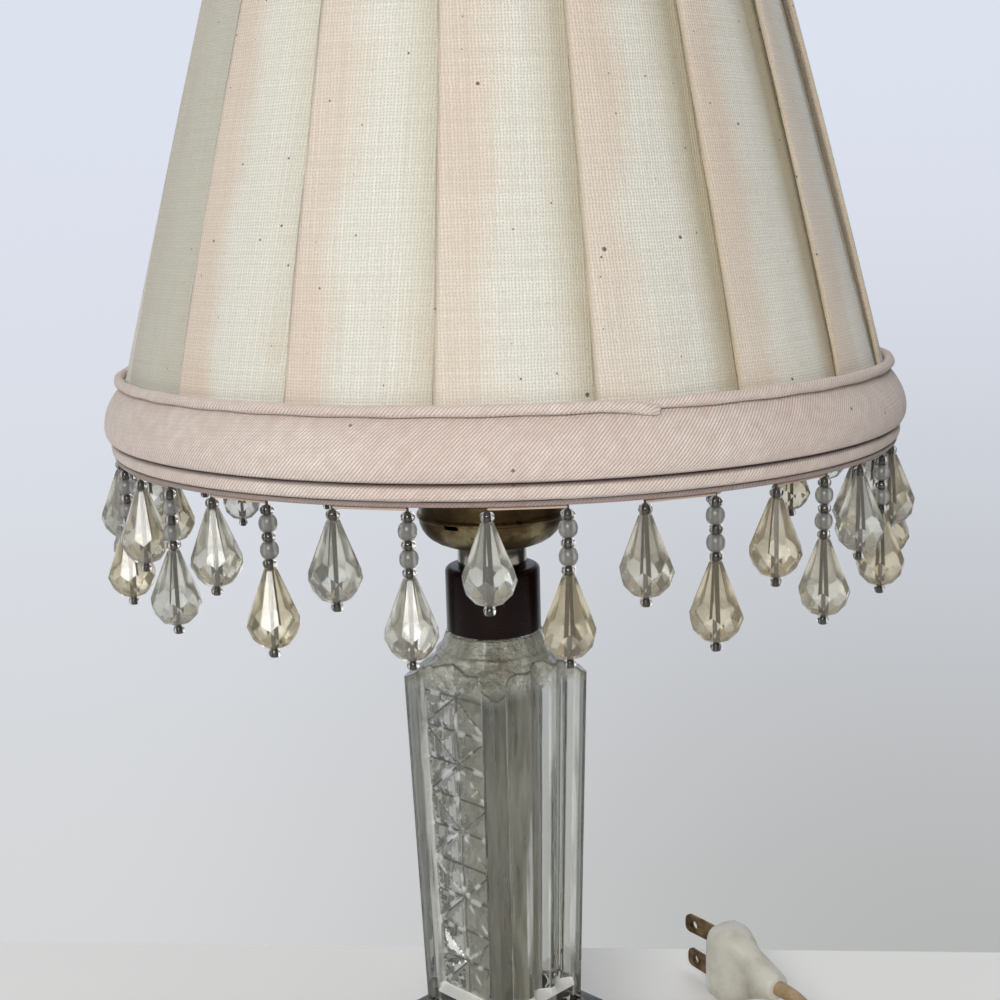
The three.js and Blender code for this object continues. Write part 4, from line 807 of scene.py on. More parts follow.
def ray_lines(glass):
    """Painted shade as thin dark lines where the stars' facets meet, and painted highlights on the edges
    beside some of them.
    """
    across = glass.maths("ABSOLUTE", glass.marked("across"))
    up = glass.maths("MULTIPLY_ADD", glass.maths("PINGPONG", glass.marked("cell"), 0.5), -2, 1)
    off_cross = glass.maths("MINIMUM", across, up)
    diagonal = glass.maths("ABSOLUTE", glass.maths("SUBTRACT", across, up))
    edge = glass.maths("SUBTRACT", 1, glass.maths("MAXIMUM", across, up))
    nearest = glass.maths("MINIMUM", edge, glass.maths("MINIMUM", off_cross, diagonal))
    line = glass.span(nearest, 0.055, 0.015, most=0.9)
    # A painted highlight beside some of the star ridges.
    painted_highlight = glass.times(glass.span(nearest, 0.11, 0.07, most=0.6), glass.blotches(210, 1, 0.52, 0.6))
    starry = glass.marked("starry")
    return glass.times(line, starry), glass.times(painted_highlight, starry)


def glass_finish():
    """Clear glass, veiled by grime in the bore and on the shoulder, with painted shade and painted
    highlights along its edges' lines.
    """
    glass = Finish("pressed_glass", IOR=1.48)
    parts = glass.sides()
    flat = glass.node("CombineXYZ", {0: parts[0], 1: parts[1]}).outputs[0]
    reach = glass.node("VectorMath", {0: flat}, operation="LENGTH").outputs["Value"]
    in_bore = glass.maths("LESS_THAN", reach, (BORE_RADIUS + 0.3) * MM)
    outside = glass.maths("SUBTRACT", 1, in_bore)
    streaks = glass.drawn_out((1, 1, 0.15))
    bore = glass.times(in_bore, glass.span(glass.blotches(260, 5, 0.3, 0.7, streaks), 0, 1, 0.5, 1))
    bore_tint = glass.mixed(glass.blotches(480, 5, 0.44, 0.62, streaks), BORE_PALE, BORE_GRIME)
    post = glass.marked("post")
    ray, painted_highlight = ray_lines(glass)
    from_rib = glass.marked("from_rib")
    # Painted shade along the flute ribs.
    rib = glass.times(glass.span(from_rib, 0.32, 0.1, most=0.85), glass.blotches(90, 2, 0.3, 0.55, streaks))
    # A painted highlight on the flutes' flanks.
    flank_patches = glass.blotches(170, 2, 0.44, 0.56, streaks)
    flank_highlight = glass.times(glass.span(from_rib, 0.75, 0.45, most=0.66), flank_patches)
    shoulder = glass.times(glass.span(parts[2], 0.134, 0.139), outside)
    shoulder_tint = glass.mixed(glass.blotches(330, 4), (0.60, 0.61, 0.54), (0.34, 0.345, 0.28))
    # Painted shade along the panels' top edge under the shoulder.
    rim = glass.span(glass.marked("from_edge"), 0.7, 0.2, most=0.8)
    sill = glass.maths("COMPARE", parts[2], (PANEL_BOTTOM - SILL_DROP / 2) * MM, 0.0011)
    sill = glass.maths("MULTIPLY", sill, glass.maths("SUBTRACT", outside, post), clamped=True)
    away = glass.node("VectorMath", {0: glass.place, 1: RUST_PLACE}, operation="DISTANCE")
    rust = glass.span(away.outputs["Value"], 0.005, 0.001, most=0.8)
    rust = glass.times(rust, glass.blotches(400, 3, 0.3, 0.6))
    tint = glass.painted(
        GLASS_TINT, (post, POST_TINT, 1), (bore, bore_tint, 1), (ray, LINE_SHADE, 1), (painted_highlight, EDGE_HIGHLIGHT, 1),
        (rib, RIB_SHADE, 1), (flank_highlight, EDGE_HIGHLIGHT, 1), (shoulder, shoulder_tint, 0.85), (rim, RIM_SHADE, 1),
        (sill, SILL_LIGHT, 1), (rust, RUST_BROWN, 1),
    )
    clear = 1.0
    for veil, strength in (
        (shoulder, 0.62), (glass.marked("starry"), 0.15), (bore, 0.8), (ray, 0.65), (painted_highlight, 0.65),
        (rim, 0.6), (rib, 0.4), (flank_highlight, 0.7), (sill, 0.75),
    ):
        clear = glass.times(clear, glass.maths("MULTIPLY_ADD", veil, -strength, 1))
    specks = glass.blotches(1500, 3, 0.56, 0.72)
    dull = glass.maths("MAXIMUM", glass.times(bore, 0.45), glass.times(specks, glass.times(shoulder, 0.35)))
    wavy = glass.raised(glass.blotches(120, 1, 0.2, 0.8), 0.0004, 0.35)
    lumpy = glass.raised(glass.times(glass.blotches(240), shoulder), 0.0011, 0.9, wavy)
    return glass.finished(
        Base_Color=tint,
        Transmission_Weight=clear,
        Roughness=glass.maths("ADD", dull, 0.012),
        Normal=glass.raised(glass.times(specks, shoulder), 0.0003, 0.6, lumpy),
    )


def cut_away(piece, cutter, sharp=30):
    """Takes the cutter out of the piece and removes the cutter."""
    carve = piece.modifiers.new("cut", "BOOLEAN")
    carve.object = cutter
    carve.operation = "DIFFERENCE"
    carve.solver = "EXACT"
    evaluated = piece.evaluated_get(bpy.context.evaluated_depsgraph_get())
    carved = bpy.data.meshes.new_from_object(evaluated)
    piece.modifiers.clear()
    piece.data = carved
    carved.set_sharp_from_angle(angle=math.radians(sharp))
    bpy.data.objects.remove(cutter)


body_rings, edge_row = glass_rings()
body = make_piece(
    "pressed_glass_body", body_rings.reshape(-1, 3), ring_faces(body_rings), glass_finish(), "base",
    "pressed_glass", sharp=GLASS_SHARP,
)
star_columns = [k for k, (share, past) in enumerate(faces_across[0][0]) if past == 0]
across_of = np.zeros(body_rings.shape[:2])
across_of[:, star_columns] = [faces_across[0][0][k][0] for k in star_columns]
cell_of = (body_rings[:, :, 2] - PANEL_BOTTOM) / (PANEL_TOP - PANEL_BOTTOM) * STAR_COUNT
outside_bore = np.linalg.norm(body_rings[:, :, :2], axis=2) > BORE_RADIUS + 1
starry_of = np.zeros(body_rings.shape[:2])
starry_of[:, star_columns] = (outside_bore & (cell_of > -0.001))[:, star_columns]
rib_of = []
for places, margin in faces_across:
    across = np.array([share * (COLUMN_TOP_SIDE / 2 - margin) + past for share, past in places])
    borders = across[[k for k, (share, past) in enumerate(places) if past == 0]]
    at_rib = np.diff(borders) > FLUTE_RIB * 0.99
    ridges = np.array([borders[0], borders[-1], *borders[1:][at_rib], *borders[:-1][at_rib]])
    rib_of.extend(np.min(np.abs(across[:, None] - ridges), axis=1))
is_post = [float(past != 0) for places, margin in faces_across for share, past in places]
post_of = np.tile(is_post, (len(body_rings), 1))
from_edge = np.linalg.norm(body_rings - body_rings[edge_row], axis=2)
on_column = (body_rings[:, :, 2] > COLUMN_BOTTOM + 1) & outside_bore
for name, values in (
    ("across", across_of), ("cell", cell_of), ("starry", starry_of), ("from_edge", from_edge),
    ("post", post_of), ("from_rib", np.where(on_column, rib_of, NO_RIB)),
):
    mark(body, name, values)
wide = BUSHING_RADIUS + GAP
hole_points, hole_faces = lathe([(0, 0), (wide, 0), (wide, HOLE_LENGTH), (0, HOLE_LENGTH)], 40)
hole = new_object("cutter", laid(hole_points, exit_heading, exit_at(HOLE_START)), hole_faces)
cut_away(body, hole, sharp=GLASS_SHARP)
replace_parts(body, "glass_body")


# Stem fittings: a zinc-plated threaded pipe up through the glass, with a washer and hexagon nut under
# the foot, a near-black lacquered collar that clamps the glass, and a short polished steel neck tube.
PIPE_RADIUS, PIPE_BORE, PIPE_BOTTOM = 5.1, 3.6, 14.7
THREAD_PITCH_PIPE, THREAD_DEPTH = 0.94, 0.38
WASHER_RADIUS, WASHER_BOTTOM, WASHER_TOP = 15, 20.5, 21.7
NUT_ACROSS_FLATS, NUT_BOTTOM, NUT_TOP = 15, 16.2, 20.2
COLLAR_RADIUS, COLLAR_BOTTOM, COLLAR_TOP, COLLAR_ROUND = 12.7, 149.5, 166.9, 1.4
NECK_TUBE_RADIUS, NECK_TUBE_BOTTOM, NECK_TUBE_TOP = 9.25, 167.2, 172.6
BORE_ROUND_PIPE = PIPE_RADIUS + GAP


def ring_profile(inner, outer, bottom, top, edge):
    """Profile of a ring with small rounded edges."""
    return [
        (inner + edge, bottom), (outer - edge, bottom), (outer - 0.3 * edge, bottom + 0.3 * edge),
        (outer, bottom + edge), (outer, top - edge), (outer - 0.3 * edge, top - 0.3 * edge),
        (outer - edge, top), (inner + edge, top), (inner, top - edge), (inner, bottom + edge),
    ]


def pipe_mesh():
    steps = round((PIPE_TOP - PIPE_BOTTOM) / THREAD_PITCH_PIPE * 4)
    heights = np.linspace(PIPE_BOTTOM, PIPE_TOP, steps + 1)
    profile = [(PIPE_RADIUS, float(z)) for z in heights] + [(PIPE_BORE, PIPE_TOP), (PIPE_BORE, PIPE_BOTTOM)]

    def groove(angle, radius, height):
        if radius < PIPE_RADIUS:
            return 0
        turn = (height / THREAD_PITCH_PIPE - angle / (2 * math.pi)) % 1
        return -THREAD_DEPTH * (1 - abs(2 * turn - 1))

    return lathe(profile, 24, groove)


def nut_mesh():
    corner = NUT_ACROSS_FLATS / math.sqrt(3)
    chamfer = corner - NUT_ACROSS_FLATS / 2

    def to_hexagon(angle, radius, height):
        if radius < PIPE_RADIUS + 1:
            return 0
        turned_by = (angle + math.pi / 6) % (math.pi / 3) - math.pi / 6
        flat = NUT_ACROSS_FLATS / 2 / math.cos(turned_by)
        return min(flat, radius) - radius

    profile = [
        (BORE_ROUND_PIPE + 0.4, NUT_BOTTOM), (corner - chamfer, NUT_BOTTOM), (corner, NUT_BOTTOM + 0.5),
        (corner, NUT_TOP - 0.5), (corner - chamfer, NUT_TOP), (BORE_ROUND_PIPE + 0.4, NUT_TOP),
        (BORE_ROUND_PIPE, NUT_TOP - 0.4), (BORE_ROUND_PIPE, NUT_BOTTOM + 0.4),
    ]
    return lathe(profile, 72, to_hexagon)


def lacquer_finish():
    lacquer = Finish("collar_lacquer", Specular_IOR_Level=0.12)
    lines = lacquer.blotches(900, 4, where=lacquer.drawn_out((0.15, 0.15, 6)))
    chips = lacquer.blotches(420, 5, 0.67, 0.75)
    colour = lacquer.mixed(lines, (0.006, 0.0012, 0.0012), (0.011, 0.0025, 0.002))
    return lacquer.finished(
        Base_Color=lacquer.mixed(chips, colour, (0.10, 0.07, 0.05), most=0.5),
        Roughness=lacquer.span(chips, 0, 1, 0.22, 0.5),
        Normal=lacquer.raised(lines, 0.00003, 0.4),
    )


zinc = old_metal("zinc_plate", (0.45, 0.44, 0.40), (0.20, 0.15, 0.09), 120, (0.3, 0.6))
steel = old_metal("polished_steel", (0.52, 0.50, 0.46), (0.30, 0.27, 0.23), 160, (0.08, 0.22), 0.00003)
collar_lacquer = lacquer_finish()
washer = ring_profile(BORE_ROUND_PIPE, WASHER_RADIUS, WASHER_BOTTOM, WASHER_TOP, 0.25)
neck_tube = ring_profile(BORE_ROUND_PIPE, NECK_TUBE_RADIUS, NECK_TUBE_BOTTOM, NECK_TUBE_TOP, 0.3)
collar = [(BORE_ROUND_PIPE, COLLAR_BOTTOM), (COLLAR_RADIUS - 0.5, COLLAR_BOTTOM)]
collar += [(COLLAR_RADIUS - 0.15, COLLAR_BOTTOM + 0.15), (COLLAR_RADIUS, COLLAR_BOTTOM + 0.5)]
for turn in range(7):
    bent = math.radians(15 * turn)
    collar.append((
        COLLAR_RADIUS - COLLAR_ROUND * (1 - math.cos(bent)), COLLAR_TOP - COLLAR_ROUND * (1 - math.sin(bent))
    ))
collar.append((BORE_ROUND_PIPE, COLLAR_TOP))
for name, mesh, finish, slot, node in (
    ("threaded_stem", pipe_mesh(), zinc, "zinc", "threaded_pipe"),
    ("stem_washer", lathe(washer, 64), zinc, "zinc", "foot_washer"),
    ("hexagon_nut", nut_mesh(), zinc, "zinc", "foot_nut"),
    ("clamping_collar", lathe(collar, 96), collar_lacquer, "collar", "collar"),
    ("neck_sleeve", lathe(neck_tube, 96), steel, "polished_steel", "neck_tube"),
):
    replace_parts(make_piece(name, *mesh, finish, "base", slot, sharp=30), node)


# Lamp socket: a spun brass cap and shell, gone olive and brown, over a card sleeve and a white porcelain
# body, with a thin rolled screw shell for the bulb. A black ribbed knob on a steel stem turns the switch.
CAP_BOTTOM, CAP_SEAM, CAP_TOP = 172.9, 181.2, 193.9
CAP_HUB_RADIUS, CAP_RADIUS, CAP_WALL, CAP_RIB = 9.7, 19.4, 0.8, 0.4
CAP_BOWL = [
    (0, 0), (0.16, 0.012), (0.34, 0.05), (0.52, 0.135), (0.68, 0.25), (0.8, 0.38), (0.885, 0.52),
    (0.94, 0.66), (0.975, 0.8),
]
CAP_SLOT_AZIMUTH = math.radians(-122)
CAP_DASHES = 3
SHELL_RADIUS, SHELL_WALL, SHELL_BOTTOM, SHELL_TOP, SHELL_BEAD = 18.3, 0.6, 189.9, 229.9, 0.9
SLEEVE_RADIUS, SLEEVE_WALL, SLEEVE_PROUD = 17.4, 0.9, 1.6
SOCKET_BODY_RADIUS, SOCKET_BODY_BOTTOM, SOCKET_BODY_TOP = 16.2, 184.2, 202.2
SCREW_INNER, SCREW_WALL, SCREW_BOTTOM, SCREW_TOP = 13.4, 0.7, 202.5, 225.9
BULB_THREAD_PITCH, SCREW_ROLL, SCREW_FADE = 3.63, 0.28, 2
SWITCH_HEIGHT, SWITCH_STEM_RADIUS, STEM_START = 193.2, 1.8, 10.2
SWITCH_WAY, SWITCH_WAY_SIZE = (20, 0, SWITCH_HEIGHT), (20, 4.2, 4.2)
KNOB_START, KNOB_LENGTH, KNOB_RADIUS, KNOB_RIBS, KNOB_RIB_DEPTH = 23.4, 9, 5.2, 10, 0.7


def block(centre, heading, size):
    """A plain block, used to cut with: its length lies along a level heading."""
    ways = np.array((
        (math.cos(heading), math.sin(heading), 0), (-math.sin(heading), math.cos(heading), 0), (0, 0, 1),
    ))
    corners = [
        np.array(centre) + np.array((along, across, upward)) * size / 2 @ ways
        for upward in (-1, 1) for along, across in ((-1, -1), (1, -1), (1, 1), (-1, 1))
    ]
    return new_object("cutter", corners, BOX_FACES)


def cap_profile():
    rise, reach = CAP_SEAM - CAP_BOTTOM, CAP_RADIUS - CAP_HUB_RADIUS
    outside = [(BORE_ROUND_PIPE, CAP_BOTTOM), (CAP_HUB_RADIUS - 1, CAP_BOTTOM)]
    outside += [(CAP_HUB_RADIUS + reach * out, CAP_BOTTOM + rise * up) for out, up in CAP_BOWL]
    for turn in range(9):
        bent = math.radians(-90 + 22.5 * turn)
        stands = CAP_RADIUS - 0.1 + (CAP_RIB + 0.1) * math.cos(bent)
        outside.append((stands, CAP_SEAM + 0.7 * math.sin(bent)))
    outside.append((CAP_RADIUS - 0.25, CAP_SEAM + 1.4))
    for in_by, down_by in ((0.15, 1.2), (0, 0.7), (0.1, 0.2), (0.35, 0)):
        outside.append((CAP_RADIUS - in_by, CAP_TOP - down_by))
    inner, floor = CAP_RADIUS - CAP_WALL, CAP_BOTTOM + CAP_WALL
    inside = [(inner, CAP_TOP), (inner, CAP_SEAM)]
    for out, up in reversed(CAP_BOWL[1:-1]):
        inside.append((between(CAP_HUB_RADIUS, inner, out), floor + (rise - CAP_WALL) * up))
    hub_floor = CAP_BOTTOM + 0.9
    return outside + inside + [(CAP_HUB_RADIUS - 1, hub_floor), (BORE_ROUND_PIPE, hub_floor)]


def shell_profile():
    inner = SHELL_RADIUS - SHELL_WALL
    outer, bead = SHELL_RADIUS, SHELL_BEAD
    outside = [(inner, SHELL_BOTTOM), (outer, SHELL_BOTTOM), (outer, SHELL_TOP - 2 * bead)]
    for turn in range(1, 8):
        bent = math.radians(180 * turn / 8)
        outside.append((outer + bead * math.sin(bent), SHELL_TOP - bead * (1 + math.cos(bent))))
    return outside + [(outer, SHELL_TOP), (inner, SHELL_TOP)]


def thread_roll(bottom, top, run_out):
    """How far a round thread stands out. It fades over run_out at both ends."""
    def rolled(angle, radius, height):
        fade = max(0, min(1, (height - bottom) / run_out, (top - height) / run_out))
        return SCREW_ROLL * fade * math.cos(2 * math.pi * height / BULB_THREAD_PITCH - angle)

    return rolled


def screw_mesh():
    """A thin sleeve rolled into a round thread."""
    steps = round((SCREW_TOP - SCREW_BOTTOM) / BULB_THREAD_PITCH * 10)
    heights = np.linspace(SCREW_BOTTOM, SCREW_TOP, steps + 1)
    profile = [(SCREW_INNER + SCREW_WALL, z) for z in heights] + [(SCREW_INNER, z) for z in heights[::-1]]
    return lathe(profile, 72, thread_roll(SCREW_BOTTOM, SCREW_TOP, SCREW_FADE))


def knob_mesh():
    shape = [
        (0, 0), (0.72, 0), (0.8, 0.15), (0.95, 0.6), (1, 1.3), (0.97, 4), (0.92, 7.2), (0.86, 8.2),
        (0.72, 8.8), (0.5, KNOB_LENGTH), (0.25, 8.85), (0, 8.8),
    ]

    def ribbed(angle, radius, height):
        held = 1 if 0.3 < height < 8.4 and radius > 0.8 * KNOB_RADIUS else 0
        wave = math.cos(KNOB_RIBS * angle)
        return -KNOB_RIB_DEPTH * held * (0.5 - 0.5 * math.copysign(abs(wave) ** 0.5, wave))

    return lathe([(share * KNOB_RADIUS, along) for share, along in shape], 120, ribbed)


def patina_finish():
    """Spun brass: streaked olive on the cap's bowl, and dark brown above its seam."""
    brass = Finish("old_brass", Metallic=1.0)
    level = brass.sides()[2]
    lines = brass.blotches(500, 4, where=brass.drawn_out((0.25, 0.25, 3)))
    drift = brass.blotches(110, 4)
    lower = brass.span(brass.maths("MULTIPLY_ADD", drift, 0.006, level), 0.1765, 0.1825, 1, 0)
    olive = brass.mixed(drift, (0.28, 0.245, 0.14), (0.13, 0.105, 0.055))
    brown = brass.mixed(drift, (0.12, 0.085, 0.04), (0.05, 0.03, 0.014))
    spots = brass.blotches(420, 5, 0.6, 0.75)
    return brass.finished(
        Base_Color=brass.mixed(spots, brass.mixed(lower, brown, olive), (0.035, 0.022, 0.012)),
        Roughness=brass.maths("ADD", brass.span(drift, 0, 1, 0.26, 0.52), brass.times(spots, 0.3)),
        Normal=brass.raised(lines, 0.00004, 0.5),
    )


brass = patina_finish()
cap = make_piece("socket_cap_spun", *lathe(cap_profile(), 120), brass, "base", "aged_brass", sharp=30)
for degrees, rise, size in (
    (0, -CAP_WALL, (8, 4, 1.2)), *((14 + 7 * dash, 1.1, (0.8, 1.1, 0.35)) for dash in range(CAP_DASHES)),
):
    azimuth = CAP_SLOT_AZIMUTH + math.radians(degrees)
    centre = Vector((math.cos(azimuth), math.sin(azimuth), 0)) * CAP_RADIUS
    centre.z = CAP_SEAM + rise
    cut_away(cap, block(centre, azimuth, size))
cut_away(cap, block(SWITCH_WAY, 0, SWITCH_WAY_SIZE))
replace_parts(cap, "socket_cap")
shell = make_piece("socket_shell_spun", *lathe(shell_profile(), 120), brass, "base", "aged_brass", sharp=30)
cut_away(shell, block(SWITCH_WAY, 0, SWITCH_WAY_SIZE))
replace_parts(shell, "socket_shell")
card_profile = ring_profile(
    SLEEVE_RADIUS - SLEEVE_WALL, SLEEVE_RADIUS, SHELL_BOTTOM + GAP, SHELL_TOP + SLEEVE_PROUD, 0.2
)
card_paper = worn_finish(
    "card_sleeve", ((0.40, 0.28, 0.15), (0.22, 0.14, 0.07)), (90,), (1300, 4), (0.12, 0.07, 0.03), 0.4,
    depth=0.00008, strength=0.6, Roughness=0.85,
)
card = make_piece("card_insulator", *lathe(card_profile, 80), card_paper, "base", "card", sharp=30)
cut_away(card, block(SWITCH_WAY, 0, SWITCH_WAY_SIZE))
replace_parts(card, "socket_sleeve")
reach, low, high = SOCKET_BODY_RADIUS, SOCKET_BODY_BOTTOM, SOCKET_BODY_TOP
porcelain_profile = [
    (0, low), (reach - 1, low), (reach, low + 1), (reach, high - 0.6), (reach - 0.6, high), (6, high),
    (5.5, high - 0.4), (0, high - 0.4),
]
glaze = worn_finish(
    "porcelain", ((0.74, 0.73, 0.68), (0.42, 0.38, 0.30)), (200, 5, 0.45, 0.75), rough=(0.18, 0.6),
    strength=0.4, Coat_Weight=0.3,
)
porcelain = make_piece(
    "porcelain_body", *lathe(porcelain_profile, 80), glaze, "base", "porcelain", sharp=30
)
cut_away(porcelain, block((16, 0, SWITCH_HEIGHT), 0, (13, 4.2, 4.2)))
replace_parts(porcelain, "socket_body")
screw = make_piece("rolled_screw_shell", *screw_mesh(), brass, "base", "aged_brass", sharp=60)
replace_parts(screw, "screw_shell")
stem_end = KNOB_START - STEM_START + 1
stem_mesh = lathe([(0, 0), (SWITCH_STEM_RADIUS, 0), (SWITCH_STEM_RADIUS, stem_end), (0, stem_end)], 24)
switch_pieces = []
for name, (points, faces), start, finish in (
    ("ribbed_knob", knob_mesh(), KNOB_START, dark_plastic), ("switch_stem", stem_mesh, STEM_START, steel),
):
    placed = laid(points, (1, 0, 0), (start, 0, SWITCH_HEIGHT))
    switch_pieces.append(make_piece(name, placed, faces, finish, "switch", "dark_plastic", sharp=50))
knob, stem = switch_pieces
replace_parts(knob, "switch_knob")
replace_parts(stem, "switch_knob")


# Bulb: a round frosted glass lamp on a rolled screw base, which has a black insulator and a soldered
# contact at its end. It turns in the screw shell.
BULB_BOTTOM, BULB_CONE_TOP, BULB_BASE_TOP = 202.8, 208.3, 227.8
BULB_BASE_RADIUS, BULB_THREAD_TOP = 13.1, 221.5
BULB_RADIUS, BULB_CENTRE, BULB_WALL = 30, 280.8, 1
BULB_JOIN, BULB_ARC_STEPS = 128, 56
BULB_THREAD_ROWS, BULB_THREAD_FADE = 37, 1.5
BULB_NECK = [(12.4, 228.1), (12.42, 230.5), (13.0, 234.1), (14.6, 241), (17.5, 249.8)]


def give_thickness(piece, thickness, offset=0):
    wall = piece.modifiers.new("wall", "SOLIDIFY")
    wall.thickness = thickness * MM
    wall.offset = offset


def envelope_mesh():
    arc = []
    for step in range(BULB_ARC_STEPS + 1):
        polar = math.radians(BULB_JOIN * (1 - step / BULB_ARC_STEPS))
        arc.append((BULB_RADIUS * math.sin(polar), BULB_CENTRE + BULB_RADIUS * math.cos(polar)))
    neck = smooth_path([(*point, 0) for point in (*BULB_NECK, arc[0])], steps=8)[1:-1]
    profile = [BULB_NECK[0], *((out, up) for out, up, _ in neck), *arc[:-1], (0, arc[-1][1])]
    return lathe(profile, 96)


def bulb_base_mesh():
    cone = [(0, 0), (3.9, 0), (4.4, 0.4), (4.5, 1.6), (6.2, 1.9), (9.5, 3.2), (11.6, 4.4), (12.4, 5.3)]
    profile = [(radius, BULB_BOTTOM + rise) for radius, rise in cone]
    heights = np.linspace(BULB_CONE_TOP, BULB_THREAD_TOP, BULB_THREAD_ROWS)
    profile += [(BULB_BASE_RADIUS - SCREW_ROLL, float(height)) for height in heights]
    top = BULB_BASE_TOP
    profile += [(12.9, 222.6), (12.9, top - 0.5), (12.7, top - 0.1), (12.2, top), (0, top)]
    return lathe(profile, 96, thread_roll(BULB_CONE_TOP, BULB_THREAD_TOP, BULB_THREAD_FADE))


def bulb_metal_finish():
    metal = Finish("bulb_base_metal")
    level = metal.sides()[2]
    insulator = metal.maths("LESS_THAN", level, (BULB_CONE_TOP - 0.2) * MM)
    contact = metal.maths("LESS_THAN", level, (BULB_BOTTOM + 1.65) * MM)
    rub = metal.blotches(260, 5)
    shell_tone = metal.mixed(rub, (0.62, 0.58, 0.48), (0.40, 0.35, 0.25))
    colour = metal.mixed(insulator, shell_tone, (0.015, 0.013, 0.014))
    return metal.finished(
        Base_Color=metal.mixed(contact, colour, (0.42, 0.42, 0.43)),
        Metallic=metal.maths("ADD", metal.maths("SUBTRACT", contact, insulator), 1),
        Roughness=metal.span(rub, 0, 1, 0.22, 0.42),
        Normal=metal.raised(rub, 0.00004, 0.4),
    )


frosted_glass = worn_finish(
    "frosted_glass", ((0.90, 0.89, 0.85), (0.78, 0.75, 0.68)), (60, 4, 0.4, 0.75), (1400,),
    rough=(0.42, 0.62), Transmission_Weight=0.45, IOR=1.45,
)
envelope = make_piece("bulb_envelope", *envelope_mesh(), frosted_glass, "bulb", "frosted_glass", sharp=60)
give_thickness(envelope, BULB_WALL, -1)
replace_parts(envelope, "bulb_glass")
base = make_piece("bulb_screw_base", *bulb_base_mesh(), bulb_metal_finish(), "bulb", "bulb_metal", sharp=40)
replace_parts(base, "bulb_base")


# Bulb clip and spider: two sprung steel loops that grip the bulb, soldered to a barrel, and the shade's
# cross wire, which passes through the barrel and bends up to the top ring. Grey tinned wire, rusted in
# places. The shade has slid a little to the right along the cross wire.
SHADE_SHIFT = 4.4
CROSS_WIRE = 355.5
CLIP_WIRE_RADIUS, CLIP_REACH, CLIP_LOOP_DROP, CLIP_LOOP_SPREAD = 0.9, 31.45, 14, 42
BARREL_INNER, BARREL_OUTER, BARREL_LENGTH = 1.8, 2.8, 15
SPIDER_RADIUS, SPIDER_BEND, SPIDER_DROP = 1.5, 9, 21
TOP_RING, ARM_END, ARM_REACH = 376.5, 47.5, 37.7


def together(*meshes):
    """Several meshes' points and faces as one mesh's."""
    points, faces = [], []
    for some_points, some_faces in meshes:
        start = len(points)
        points.extend(tuple(point) for point in some_points)
        faces.extend(tuple(start + k for k in face) for face in some_faces)
    return points, faces


def solder(place, radius, squash=0.75):
    """A small blob of solder."""
    steps = [math.pi * k / 8 for k in range(9)]
    profile = [(radius * math.sin(angle), -squash * radius * math.cos(angle)) for angle in steps]
    profile[0], profile[-1] = (0, profile[0][1]), (0, profile[-1][1])
    points, faces = lathe(profile, 14)
    return np.array(points) + place, faces


def clip_loop(side):
    """One sprung loop: from the barrel down round the bulb and up again, with its two blobs of solder."""
    def on_bulb(azimuth, polar=90.0, drop=0.0):
        flat = CLIP_REACH * math.sin(math.radians(polar))
        x, y = flat * math.sin(math.radians(azimuth)), side * flat * math.cos(math.radians(azimuth))
        return x, y, BULB_CENTRE + CLIP_REACH * math.cos(math.radians(polar)) - drop

    def leg(azimuth):
        x, y = on_bulb(azimuth)[:2]
        foot = math.copysign(BARREL_LENGTH / 2 - 2 * CLIP_WIRE_RADIUS, azimuth)
        low = BARREL_OUTER * math.sqrt(0.5)
        return [
            (foot, side * low, CROSS_WIRE - low),
            (between(foot, x, 0.45), between(0, y, 0.5), between(CROSS_WIRE, BULB_CENTRE, 0.42)),
            on_bulb(azimuth, 48), on_bulb(azimuth, 70), on_bulb(azimuth),
            on_bulb(azimuth, drop=CLIP_LOOP_DROP * 0.6),
        ]

    route = leg(-CLIP_LOOP_SPREAD)
    route += [on_bulb(CLIP_LOOP_SPREAD * share, drop=CLIP_LOOP_DROP) for share in (-0.7, 0, 0.7)]
    route += reversed(leg(CLIP_LOOP_SPREAD))
    blobs = [solder(route[end], 1.4) for end in (0, -1)]
    return together(tube_mesh(smooth_path(route, 9), CLIP_WIRE_RADIUS, 12)[:2], *blobs)


def spider_route():
    bend = SPIDER_BEND * (1 - math.sqrt(0.5))
    half = [
        (ARM_END, TOP_RING), (ARM_END - bend, TOP_RING), (ARM_REACH + bend, TOP_RING - bend),
        (ARM_REACH, TOP_RING - SPIDER_DROP / 2), (ARM_REACH - bend, CROSS_WIRE + bend),
        (ARM_REACH - SPIDER_BEND, CROSS_WIRE), (BARREL_LENGTH, CROSS_WIRE),
    ]
    both = [(-out, height) for out, height in half] + half[::-1]
    return [(SHADE_SHIFT + out, 0, height) for out, height in both]


def wire_finish():
    wire = Finish("tinned_wire", Metallic=0.9)
    rust = wire.blotches(170, 6, 0.52, 0.66)
    tarnish = wire.blotches(500)
    tin = wire.mixed(tarnish, (0.46, 0.45, 0.42), (0.27, 0.25, 0.21))
    return wire.finished(
        Base_Color=wire.mixed(rust, tin, (0.13, 0.055, 0.022)),
        Roughness=wire.span(rust, 0, 1, 0.36, 0.85),
        Normal=wire.raised(wire.times(rust, tarnish), 0.0001, 0.6),
    )


tinned_wire = wire_finish()
barrel_points, barrel_faces = lathe(ring_profile(BARREL_INNER, BARREL_OUTER, 0, BARREL_LENGTH, 0.2), 36)
barrel = (laid(barrel_points, (1, 0, 0), (-BARREL_LENGTH / 2, 0, CROSS_WIRE)), barrel_faces)
clip_mesh = together(barrel, clip_loop(1), clip_loop(-1))
clip = make_piece("sprung_clip", *clip_mesh, tinned_wire, "clip", "wire", sharp=40)
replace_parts(clip, "bulb_clip")
spider_mesh = tube_mesh(smooth_path(spider_route(), 9), SPIDER_RADIUS, 14)[:2]
spider = make_piece("cross_wire", *spider_mesh, tinned_wire, "shade", "wire", sharp=40)
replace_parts(spider, "shade_spider")


